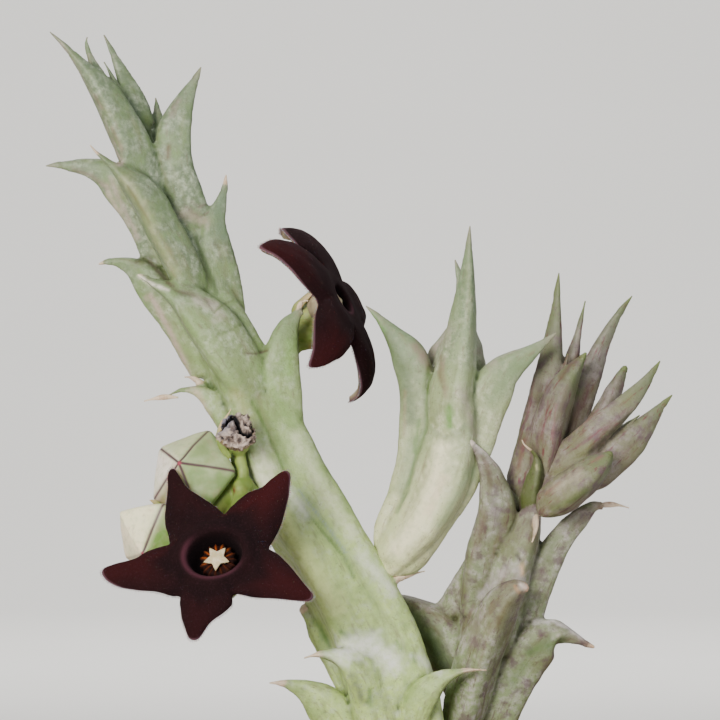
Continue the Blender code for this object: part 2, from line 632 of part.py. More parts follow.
def cluster_stalks(collection):
    """The knot of short green stalks on the left stem's flank, with every calyx that they carry."""
    knot = (-18.8, -4.5, 103.8)
    cup = -CUP_PROFILE[0][1] + PETAL_THICKNESS + STALK_GAP
    upper = -BUD_PROFILE[-1][1] * UPPER_BUD["radius"] + STALK_GAP
    lower = -BUD_PROFILE[-1][1] * LOWER_BUD["radius"] + STALK_GAP
    dry = 1.2 * WITHERED["radius"] + STALK_GAP
    rise = [(-16.4, -1.0, 104.2), (-17.6, -3.2, 104.0), knot, (-19.2, -5.3, 103.4)]
    trunk = stalk("cluster_stalks", rise, [1.5, 1.5, 1.5, 1.1], collection)
    arms = [
        stalk_to("to_front", [knot, (-19.8, -6.6, 101.2), (-20.8, -8.8, 98.2)], FRONT_FLOWER, cup,
                 [1.0, 0.8, 0.8, 1.2], collection),
        stalk_to("to_upper", [knot, (-20.3, -2.6, 102.7)], UPPER_BUD, upper, [1.1, 0.9, 1.3], collection),
        stalk_to("to_lower", [knot, (-20.8, -3.4, 100.6), (-23.6, -2.4, 98.4)], LOWER_BUD, lower,
                 [1.0, 0.8, 0.8, 1.3], collection),
        stalk_to("to_dry", [knot, (-18.7, -4.9, 105.6)], WITHERED, dry, [1.2, 1.1, 1.3], collection),
        stalk("bract_low", [knot, (-19.8, -5.9, 102.6), (-20.4, -6.6, 101.9)], [0.8, 0.5, 0.2], collection),
    ]
    arms += calyx("front_sepal", back_of(FRONT_FLOWER, cup), FRONT_FLOWER["normal"], 4.0, 1.7, collection)
    arms += calyx("upper_sepal", back_of(UPPER_BUD, upper), UPPER_BUD["axis"], 3.9, 0.8, collection, 30.0)
    arms += calyx("lower_sepal", back_of(LOWER_BUD, lower), LOWER_BUD["axis"], 2.0, 0.1, collection, 84.0)
    return fused(trunk, arms)


def side_stalk(collection):
    """The side flower's own stalk, which rises behind the tooth beside it."""
    cup = -CUP_PROFILE[0][1] + PETAL_THICKNESS + STALK_GAP
    rise = [(-17.2, 1.0, 116.4), (-15.2, 2.4, 117.0), (-14.4, 3.2, 118.2)]
    trunk = stalk_to("side_stalk", rise, SIDE_FLOWER, cup, [1.1, 1.0, 1.0, 1.4], collection)
    arms = [stalk("side_bract", [(-14.8, 2.8, 117.4), (-13.4, 2.4, 117.6), (-12.4, 2.2, 117.4)],
                  [0.7, 0.6, 0.3], collection)]
    arms += calyx("side_sepal", back_of(SIDE_FLOWER, cup), SIDE_FLOWER["normal"], 4.3, 2.6, collection, 20.0)
    return fused(trunk, arms)


def turned(name, outline, sides, collection):
    """A closed outline of (radius, height) points swept once round the Z axis."""
    bm = bmesh.new()
    knots = [bm.verts.new((radius * MM, 0.0, height * MM)) for radius, height in outline]
    for first, second in zip(knots, knots[1:] + knots[:1]):
        bm.edges.new((first, second))
    mesh = bpy.data.meshes.new(name)
    bm.to_mesh(mesh)
    bm.free()
    obj = link(mesh, name, collection)
    sweep = obj.modifiers.new("turned", "SCREW")
    sweep.axis = "Z"
    sweep.steps = sides
    sweep.render_steps = sides
    sweep.use_merge_vertices = True
    sweep.merge_threshold = 1e-5
    sweep.use_normal_calculate = True
    return obj


def inner_radius(height):
    """Radius of the pot's hollow at a height above its foot."""
    low = FOOT_RADIUS - POT_WALL
    high = RIM_RADIUS - POT_WALL - 0.6
    return low + (high - low) * (height - POT_FLOOR) / (POT_HEIGHT - POT_FLOOR)


def pot(collection):
    band_foot = POT_HEIGHT - RIM_BAND
    rim = RIM_RADIUS
    outline = [
        (DRAIN_RADIUS, 0.0), (DRAIN_RADIUS + 0.6, POT_FLOOR), (inner_radius(POT_FLOOR) - POT_EASE, POT_FLOOR),
        (inner_radius(POT_FLOOR + POT_EASE), POT_FLOOR + POT_EASE),
        (inner_radius(POT_HEIGHT - POT_EASE), POT_HEIGHT - POT_EASE),
        (inner_radius(POT_HEIGHT) + 1.2, POT_HEIGHT), (rim - 1.2, POT_HEIGHT), (rim, POT_HEIGHT - 1.2),
        (rim - 0.7, band_foot + 1.0), (rim - 1.7, band_foot), (rim - RIM_STEP, band_foot - 0.4),
        (rim - RIM_STEP - 0.6, band_foot - 1.4), (FOOT_RADIUS + 0.4, 1.2), (FOOT_RADIUS - 0.8, 0.0),
    ]
    return turned("pot", outline[::-1], POT_SIDES, collection)


def soil_stones():
    """Places, radii and heights of the grit, drawn with a fixed seed."""
    draw = random.Random(STONE_SEED)
    stones = []
    for _ in range(STONE_COUNT):
        away = STONE_REACH * math.sqrt(draw.random())
        angle = draw.uniform(0, 2 * math.pi)
        radius = draw.uniform(*STONE_RADIUS)
        rise = radius * draw.uniform(*STONE_RISE)
        stones.append((away * math.cos(angle), away * math.sin(angle), radius, rise))
    return np.array(stones)


def soil(collection):
    """Fills the pot's hollow. Each stone raises the top as a low dome, and the highest dome counts."""
    stones = soil_stones()
    low = POT_FLOOR + CLEARANCE
    wall_top = SOIL_TOP - 1.0
    rows = SOIL_RINGS + 3

    def shape(u, v):
        ring = np.rint(v * rows).astype(int)
        angle = 2 * math.pi * u
        edge = inner_radius(wall_top) - CLEARANCE - 0.2
        foot = inner_radius(POT_FLOOR + POT_EASE) - CLEARANCE - 0.8
        top_share = np.clip(1 - (ring - 3) / SOIL_RINGS, 0, 1)
        reach = np.select([ring == row for row in range(3)], [0.0, foot - POT_EASE, foot], edge * top_share)
        x = reach * np.cos(angle)
        y = reach * np.sin(angle)
        apart = np.hypot(x[:, None] - stones[:, 0], y[:, None] - stones[:, 1]) / stones[:, 2]
        dome = (stones[:, 3] * np.sqrt(np.clip(1 - apart ** 2, 0, 1))).max(axis=1)
        rise = SOIL_TOP - 0.8 + dome * (top_share < 0.97) + 1.2 * np.exp(-(x ** 2 + y ** 2) / 200)
        body = [low, low, low + POT_EASE, wall_top]
        height = np.select([ring == row for row in range(4)], body, rise)
        return np.stack([x, y, height], axis=1)

    return shaped_grid("soil", SOIL_SIDES, rows, shape, collection)


def finish(obj, look, sharp=USUAL_SHARP):
    """A Principled material for this part alone, and smooth shading up to a sharp angle in degrees."""
    colour, roughness = LOOKS[look]
    material = bpy.data.materials.new(obj.name)
    material.use_nodes = True
    shader = material.node_tree.nodes["Principled BSDF"]
    shader.inputs["Base Color"].default_value = (*colour, 1.0)
    shader.inputs["Roughness"].default_value = roughness
    shader.inputs["Metallic"].default_value = 0.0
    obj.data.materials.clear()
    obj.data.materials.append(material)
    obj.data.shade_smooth()
    obj.data.set_sharp_from_angle(angle=math.radians(sharp))


def main():
    for old in list(bpy.data.objects):
        bpy.data.objects.remove(old)
    parts = bpy.data.collections.new(OBJECT_NAME)
    cutters = bpy.data.collections.new(OBJECT_NAME + "_cutters")
    for collection in (parts, cutters):
        bpy.context.scene.collection.children.link(collection)
    cutters.hide_render = True

    left_space = stem_cutter("stem_left", LEFT_STEM, cutters)
    right_space = stem_cutter("stem_right", RIGHT_STEM, cutters)
    upper_space = stem_cutter("shoot_upper", UPPER_SHOOT, cutters)
    middle_space = stem_cutter("stem_middle", MIDDLE_STEM, cutters)

    finish(stem("stem_left", LEFT_STEM, parts), "left stem")
    finish(cut(stem("stem_middle", MIDDLE_STEM, parts), [left_space]), "middle stem")
    finish(cut(stem("stem_right", RIGHT_STEM, parts), [left_space, middle_space]), "right stem")
    finish(cut(stem("shoot_upper", UPPER_SHOOT, parts), [right_space, middle_space]), "right stem")
    finish(cut(stem("shoot_side", SIDE_SHOOT, parts), [right_space, upper_space]), "right stem")

    finish(cut(cluster_stalks(parts), [left_space]), "stalk")
    finish(cut(side_stalk(parts), [left_space]), "stalk")
    for name, flower in (("front", FRONT_FLOWER), ("side", SIDE_FLOWER)):
        finish(corolla(name + "_corolla", flower, parts), "corolla")
        finish(corona_ring(name + "_corona", flower, parts), "corona")
        finish(corona_star(name + "_star", flower, parts), "star")
    finish(bud("upper_bud", UPPER_BUD, parts), "bud", BUD_SHARP)
    finish(bud("lower_bud", LOWER_BUD, parts), "bud", BUD_SHARP)
    finish(withered("withered_flower", WITHERED, parts), "withered")

    finish(pot(parts), "pot")
    finish(cut(soil(parts), [left_space, right_space]), "soil", SOIL_SHARP)


main()
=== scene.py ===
import math

import bmesh
import bpy
import numpy as np
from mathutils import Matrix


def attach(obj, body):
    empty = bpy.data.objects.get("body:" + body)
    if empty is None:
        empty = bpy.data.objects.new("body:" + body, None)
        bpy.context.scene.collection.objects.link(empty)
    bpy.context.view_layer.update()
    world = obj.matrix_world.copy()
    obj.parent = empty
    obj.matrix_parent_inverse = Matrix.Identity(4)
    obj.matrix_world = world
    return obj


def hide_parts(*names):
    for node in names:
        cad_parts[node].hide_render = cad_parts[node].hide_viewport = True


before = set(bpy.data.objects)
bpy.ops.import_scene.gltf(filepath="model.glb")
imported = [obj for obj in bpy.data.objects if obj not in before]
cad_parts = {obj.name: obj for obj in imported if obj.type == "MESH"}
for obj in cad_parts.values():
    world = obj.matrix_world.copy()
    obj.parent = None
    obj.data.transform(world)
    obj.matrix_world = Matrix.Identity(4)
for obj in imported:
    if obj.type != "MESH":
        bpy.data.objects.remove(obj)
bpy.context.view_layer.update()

# Lengths in the dictionaries are millimetres: X right, Y away from the viewer, Z up from the pot's foot.
mm = 0.001


# Each vector divided by its length
def unit(vectors):
    vectors = np.asarray(vectors, float)
    return vectors / np.maximum(np.linalg.norm(vectors, axis=-1, keepdims=True), 1e-9)


# A soft step from 0 at `low` to 1 at `high`: three times the square of the share less twice its cube
def smoothStep(low, high, value):
    share = np.clip((value - low) / (high - low), 0, 1)
    return share * share * (3 - 2 * share)


# A Catmull-Rom curve through the points: each span is the cubic whose end slopes are those of its
# neighbours.
def smoothPath(points, count):
    points = np.asarray(points, float)
    padded = np.vstack([2 * points[0] - points[1], points, 2 * points[-1] - points[-2]])
    place = np.linspace(0, len(points) - 1, count)
    index = np.minimum(place.astype(int), len(points) - 2)
    share = (place - index)[:, None]
    before, start, end, after = (padded[index + step] for step in range(4))
    return 0.5 * (2 * start + (end - before) * share + (2 * before - 5 * start + 4 * end - after) * share ** 2
                  + (3 * start - before - 3 * end + after) * share ** 3)


# The values read off at `count` even steps, straight between neighbours
def evenly(values, count):
    return np.interp(np.linspace(0, 1, count), np.linspace(0, 1, len(values)), values)


# How far each corner of a line lies from its start, measured along the line
def travelled(points):
    return np.concatenate([[0], np.cumsum(np.linalg.norm(np.diff(points, axis=0), axis=1))])


# Each value becomes half itself and a quarter of both neighbours, a few times over. A ring joins its last
# value to its first; otherwise both ends stay.
def worn(values, rounds, ring=True):
    for _ in range(rounds):
        mean = 0.25 * np.roll(values, 1, axis=0) + 0.5 * values + 0.25 * np.roll(values, -1, axis=0)
        if not ring:
            mean[0], mean[-1] = values[0], values[-1]
        values = mean
    return values


# Points round the Z axis: distance times cosine and sine of the angle, and the height
def roundAxis(reach, angle, height):
    return np.stack(np.broadcast_arrays(reach * np.cos(angle), reach * np.sin(angle), height), axis=-1)


# A soft random field between about -1 and 1: the mean of plane waves of about one wavelength, in all
# directions
def softNoise(points, wavelength, seed, waves=14):
    draw = np.random.default_rng(seed)
    directions = unit(draw.normal(size=(waves, 3)))
    pitch = 2 * np.pi / wavelength * draw.uniform(0.6, 1.5, waves)
    phase = draw.uniform(0, 2 * np.pi, waves)
    return np.sin(points @ directions.T * pitch + phase).mean(axis=1) * 1.9  # 1.9 makes up for the mean


# Faces of a grid of rows by columns, row by row; a closed grid joins its last column to its first.
def gridFaces(rows, columns, closed=True, first=0):
    across = np.arange(columns if closed else columns - 1)
    row, column = np.meshgrid(np.arange(rows - 1), across, indexing="ij")
    right = (column + 1) % columns
    corners = [row * columns + column, row * columns + right, (row + 1) * columns + right,
               (row + 1) * columns + column]
    return np.stack(corners, axis=-1).reshape(-1, 4) + first


# A new mesh from points in millimetres and faces by the numbers of their points
def newMesh(name, points, faces):
    mesh = bpy.data.meshes.new(name)
    mesh.from_pydata((points.reshape(-1, 3) * mm).tolist(), [], faces)
    return mesh


# Welds points closer than this many metres and turns the faces outwards; attributes are kept.
def closeMesh(mesh, weld=1e-7):
    work = bmesh.new()
    work.from_mesh(mesh)
    bmesh.ops.remove_doubles(work, verts=work.verts, dist=weld)
    bmesh.ops.recalc_face_normals(work, faces=work.faces)
    work.to_mesh(mesh)
    work.free()
    mesh.shade_smooth()


# One mesh from (rows, columns, 3) grids in millimetres; `merge` closes its seams and poles at once.
def meshOf(name, grids, closed=True, merge=True):
    firsts = np.cumsum([0] + [grid.shape[0] * grid.shape[1] for grid in grids])
    faces = [gridFaces(*grid.shape[:2], closed, first) for grid, first in zip(grids, firsts)]
    points = np.concatenate([grid.reshape(-1, 3) for grid in grids])
    mesh = newMesh(name, points, np.concatenate(faces).tolist())
    if merge:
        closeMesh(mesh, 1e-6)
    mesh.shade_smooth()
    return mesh


# A new object in the scene
def addObject(name, data):
    made = bpy.data.objects.new(name, data)
    bpy.context.scene.collection.objects.link(made)
    return made


# A finished mesh becomes a piece: it rides on the one body, stands in for its solids and takes its material.
def addPiece(name, mesh, material, nodes):
    piece = addObject(name, mesh)
    mesh.materials.append(material)
    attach(piece, "root")
    if nodes:
        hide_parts(*nodes)


# One field of a mesh's points, normals, edges or faces, as rows of `width` numbers
def readRows(items, field, width, kind=np.float32):
    values = np.empty(len(items) * width, kind)
    items.foreach_get(field, values)
    return values.reshape(-1, width)


# Points in millimetres, their normals, and the pairs of points that the edges join
def readPoints(mesh):
    return readRows(mesh.vertices, "co", 3).astype(float) / mm


def readNormals(mesh):
    return readRows(mesh.vertex_normals, "vector", 3).astype(float)


def readEdges(mesh):
    return readRows(mesh.edges, "vertices", 2, np.int32)


# Moves the points to places given in millimetres
def writePoints(mesh, points):
    mesh.vertices.foreach_set("co", (points * mm).astype(np.float32).ravel())
    mesh.update()


# Stores an attribute on the points: one number each, or three where there are three times as many values
def writeField(mesh, name, values):
    values = np.asarray(values, np.float32).ravel()
    kind, field = ("FLOAT", "value") if len(values) == len(mesh.vertices) else ("FLOAT_VECTOR", "vector")
    mesh.attributes.new(name, kind, "POINT").data.foreach_set(field, values)


# Moves each value half way to the mean of its neighbours along the mesh's edges, a few times over.
def relaxed(values, edges, rounds):
    count = len(values)
    first, second = edges[:, 0], edges[:, 1]
    degree = np.maximum(np.bincount(edges.ravel(), minlength=count), 1)
    flat = values.reshape(count, -1).copy()
    for _ in range(rounds):
        for column in range(flat.shape[1]):
            old = flat[:, column]
            total = np.bincount(first, old[second], count) + np.bincount(second, old[first], count)
            flat[:, column] = old + 0.5 * (total / degree - old)
    return flat.reshape(values.shape)


# How far the neighbours of each point rise above its tangent plane, divided by their distance squared:
# plus in a crease, minus on a keel.
def bendOf(points, normals, edges):
    first, second = edges[:, 0], edges[:, 1]
    step = points[second] - points[first]
    length = np.maximum((step ** 2).sum(axis=1), 1e-9)
    rise = (step * normals[first]).sum(axis=1) / length
    otherRise = -(step * normals[second]).sum(axis=1) / length
    count = len(points)
    total = np.bincount(first, rise, count) + np.bincount(second, otherRise, count)
    return total / np.maximum(np.bincount(edges.ravel(), minlength=count), 1)


# An sRGB hex value as linear red, green and blue, with full cover
def hexColour(text):
    levels = [int(text[index:index + 2], 16) / 255 for index in (1, 3, 5)]
    linear = [level / 12.92 if level <= 0.04045 else ((level + 0.055) / 1.055) ** 2.4 for level in levels]
    return (*linear, 1.0)


# Adds one node: attributes first, then inputs by name or number, each a value or another node's output.
def addNode(tree, kind, settings=None, inputs=None):
    node = tree.nodes.new(kind)
    for key, value in (settings or {}).items():
        setattr(node, key, value)
    for key, value in (inputs or {}).items():
        if isinstance(value, bpy.types.NodeSocket):
            tree.links.new(value, node.inputs[key])
        else:
            node.inputs[key].default_value = value
    return node


# A new material, its tree of nodes and its shader
def newMaterial(name):
    material = bpy.data.materials.new(name)
    material.use_nodes = True
    tree = material.node_tree
    return material, tree, tree.nodes["Principled BSDF"]


# A material from tables. Its fields are the mesh's attributes (`masks` of one number, `vectors` of
# three), noises (name, coordinates, scale, detail: a scale of 1000 gives spots of 1 mm), ranges (name,
# field, from, to, lowest, highest value) and products (name, first times second, plus third). `tones` is
# the ground and then (field, tone) laid over it one after another; a tone is a hex value, a field or one of
# the named stacks in `under`, which are worked out first. Relief: field, strength, distance.
def layeredMaterial(name, look):
    material, tree, shader = newMaterial(name)
    place = addNode(tree, "ShaderNodeTexCoord").outputs["Object"]
    height = addNode(tree, "ShaderNodeSeparateXYZ", inputs={0: place}).outputs["Z"]
    fields = {"place": place, "height": height}
    if "stretch" in look:
        fields["stretched"] = addNode(tree, "ShaderNodeMapping", inputs={
            "Vector": place, "Scale": look["stretch"]}).outputs[0]
    for kind, output in (("masks", "Fac"), ("vectors", "Vector")):
        for key in look.get(kind, ()):
            fields[key] = addNode(tree, "ShaderNodeAttribute", {"attribute_name": key}).outputs[output]
    for key, source, scale, detail in look["noises"]:
        fields[key] = addNode(tree, "ShaderNodeTexNoise", inputs={
            "Vector": fields[source], "Scale": scale, "Detail": detail, "Roughness": look.get("fray", 0.5),
        }).outputs["Fac"]
    for key, source, low, high, least, most in look.get("ranges", ()):
        fields[key] = addNode(tree, "ShaderNodeMapRange", inputs={
            "Value": fields[source], "From Min": low, "From Max": high, "To Min": least, "To Max": most,
        }).outputs["Result"]
    for key, *terms in look.get("products", ()):
        fields[key] = addNode(tree, "ShaderNodeMath", {"operation": "MULTIPLY_ADD"}, {
            index: fields.get(term, term) for index, term in enumerate(terms)}).outputs[0]
    for key, (ground, *layers) in {**look.get("under", {}), "tones": look["tones"]}.items():
        colour = fields[ground] if ground in fields else hexColour(ground)
        for field, tone in layers:
            over = fields[tone] if tone in fields else hexColour(tone)
            colour = addNode(tree, "ShaderNodeMix", {"data_type": "RGBA"}, {
                0: fields[field], 6: colour, 7: over}).outputs[2]
        fields[key] = colour
    tree.links.new(fields["tones"], shader.inputs["Base Color"])
    if "relief" in look:
        field, strength, distance = look["relief"]
        bump = addNode(tree, "ShaderNodeBump", inputs={
            "Strength": strength, "Distance": distance, "Height": fields[field]})
        tree.links.new(bump.outputs["Normal"], shader.inputs["Normal"])
    for key, value in look["shader"].items():
        shader.inputs[key].default_value = value
    return material


# Camera and light. The photo's middle is 360 pixels in and down, and 10 pixels are 1 mm at the pot's axis.
view = dict(lens=250.0, sensor=36.0, place=(-8.0, -500.0, 116.0), middle=360.0, pixels=10.0)

cameraData = bpy.data.cameras.new("photoCamera")
cameraData.lens = view["lens"]
cameraData.sensor_width = view["sensor"]
cameraData.clip_end = 20.0
camera = addObject("photoCamera", cameraData)
camera.location = [length * mm for length in view["place"]]
camera.rotation_euler = (math.pi / 2, 0, 0)
bpy.context.scene.camera = camera

studio = dict(
    lamps=[
        # name, place, aim, size, power, colour
        ("keyLight", (-220, -480, 230), (-5, 0, 98), 200, 3.9, "#fffaf2"),
        ("fillLight", (420, -360, 160), (0, 0, 105), 300, 0.9, "#f2f4ff"),
        ("topLight", (-60, 160, 520), (-5, 0, 105), 300, 1.0, "#ffffff"),
        ("wallLight", (0, 1300, 900), (0, 2200, 150), 900, 22.0, "#ffffff"),
    ],
    worldColour="#e6e8ea",
    worldStrength=0.34,
    backdropColour="#d4d2cd",
    backdropReach=3000.0,
    backdropDepth=2400.0,
    backdropBend=600.0,
    backdropHeight=2200.0,
)

for name, place, aim, size, power, colour in studio["lamps"]:
    lampData = bpy.data.lights.new(name, "AREA")
    lampData.size = size * mm
    lampData.energy = power
    lampData.color = hexColour(colour)[:3]
    lamp = addObject(name, lampData)
    lamp.location = [length * mm for length in place]
    toAim = unit(np.array(aim, float) - np.array(place, float))
    lamp.rotation_euler = (math.acos(-toAim[2]), 0, math.atan2(-toAim[0], toAim[1]))

world = bpy.data.worlds.new("studio")
world.use_nodes = True
world.node_tree.nodes["Background"].inputs["Color"].default_value = hexColour(studio["worldColour"])
world.node_tree.nodes["Background"].inputs["Strength"].default_value = studio["worldStrength"]
bpy.context.scene.world = world


# Painted studio board: matt, one pale tone. The floor bends up into a wall by a quarter circle.
def backdrop():
    reach, depth, bend = studio["backdropReach"], studio["backdropDepth"], studio["backdropBend"]
    turn = np.linspace(0, np.pi / 2, 24)
    profileY = np.concatenate([[-reach], depth - bend + bend * np.sin(turn), [depth]])
    profileZ = np.concatenate([[0.0], bend - bend * np.cos(turn), [studio["backdropHeight"]]])
    side = np.array([-reach, reach])
    grid = np.stack(np.broadcast_arrays(side[None, :], profileY[:, None], profileZ[:, None]), axis=-1)
    mesh = meshOf("floor", [grid], closed=False, merge=False)
    material, tree, shader = newMaterial("paintedStudioBoard")
    grain = addNode(tree, "ShaderNodeTexNoise", inputs={"Scale": 40.0, "Detail": 3.0})
    tone = addNode(tree, "ShaderNodeMix", {"data_type": "RGBA"},
                   {0: grain.outputs["Fac"], 6: hexColour(studio["backdropColour"]), 7: hexColour("#d8d6d2")})
    tree.links.new(tone.outputs[2], shader.inputs["Base Color"])
    shader.inputs["Roughness"].default_value = 0.95
    mesh.materials.append(material)
    floor = addObject("floor", mesh)


backdrop()
print("stage ready")


# One skin round overlapping closed surfaces, from cells of this size, with the modifier worked in
def fusedMesh(grids, voxel):
    rough = addObject("rough", meshOf("rough", grids, merge=False))
    cells = rough.modifiers.new("cells", "REMESH")
    cells.mode = "VOXEL"
    cells.voxel_size = voxel * mm
    bpy.context.view_layer.update()
    joined = bpy.data.meshes.new_from_object(rough.evaluated_get(bpy.context.evaluated_depsgraph_get()))
    bpy.data.objects.remove(rough)
    return joined


# Green stems: a ridged core and its teeth under one skin, with fine tips added after it
stemMake = dict(
    voxel=0.20,  # remesh cell, wider on the long left stem
    smoothing=2,  # rounds that take the steps off the cells
    drawn=240,  # rows of a path while it is drawn through its stations
    least=0.04,  # half width that no tooth falls below
    steps=60,  # rows of a path; a fine tip has its own rows and columns
    tipRows=26, tipColumns=16,
    sunkRadius=0.20,  # a tooth this thin is left out of the remesh
    tipRadius=0.42,  # a fine tip starts where its tooth is this thick
    tipEase=(0.80, 0.24, 0.3),  # its width at its root, what it gains, and over which share of its length
    corners=0.10,  # how far a tooth's section is from round, towards three soft corners
    keel=0.13,  # how far the tooth's outer line stands out
    keelWidth=0.30,  # in radians round the tooth
    lumps=((6.0, 0.10), (1.8, 0.035)),  # wavelength and height
)


# Picture position in the photo, in pixels, and depth, turned to the frame's millimetres: a pixel is as
# wide as its distance from the camera says, so that things nearer the camera are larger in the picture.
def fromPhoto(px, py, depth):
    x, y, z = view["place"]
    reach = (depth - y) / (-y * view["pixels"])
    return (x + (px - view["middle"]) * reach, depth, z - (py - view["middle"]) * reach)


# The other way round: where points of the frame lie in the photo
def toPhoto(points):
    x, y, z = view["place"]
    scale = -y * view["pixels"] / (points[:, 1] - y)
    across, down = (points[:, 0] - x) * scale, (z - points[:, 2]) * scale
    return view["middle"] + np.stack([across, down], axis=1)


# A tooth by stations from its foot to its tip, each (picture x, picture y, depth, half width)
def tooth(*stations, dry=0.0, warm=0.0, olive=0.0):
    line = [(*fromPhoto(px, py, depth), half) for px, py, depth, half in stations]
    return dict(line=np.array(line), dry=dry, warm=warm, olive=olive)


# A tooth by base, shoulder and tip: a parabola through the three, full width to a third of it and then
# falling by a power. Its foot is narrowed and sunk against the side that it bulges to.
def horn(base, shoulder, tip, width, taper=1.0, tipRadius=0.07, dry=0.0, warm=0.0, olive=0.0, sink=1.2):
    share = np.array([-0.18, 0.0, 0.2, 0.4, 0.6, 0.8, 0.92, 1.0])[:, None]
    base, shoulder, tip = (np.array(point, float) for point in (base, shoulder, tip))
    handle = 2 * shoulder - 0.5 * (base + tip)
    path = (1 - share) ** 2 * base + 2 * share * (1 - share) * handle + share ** 2 * tip
    half = np.maximum(0.5 * width * np.minimum(1.0, (1 - share[:, 0]) / 0.65) ** taper, tipRadius)
    away = unit(shoulder - 0.5 * (base + tip) + 1e-6)
    foot = np.clip((0.34 - share) / 0.52, 0, 1) ** 2
    depth = sink * min(1.0, 0.4 * width) * foot
    half *= 1 - 0.35 * foot[:, 0]
    return dict(line=np.column_stack([path - depth * away, half]), dry=dry, warm=warm, olive=olive)


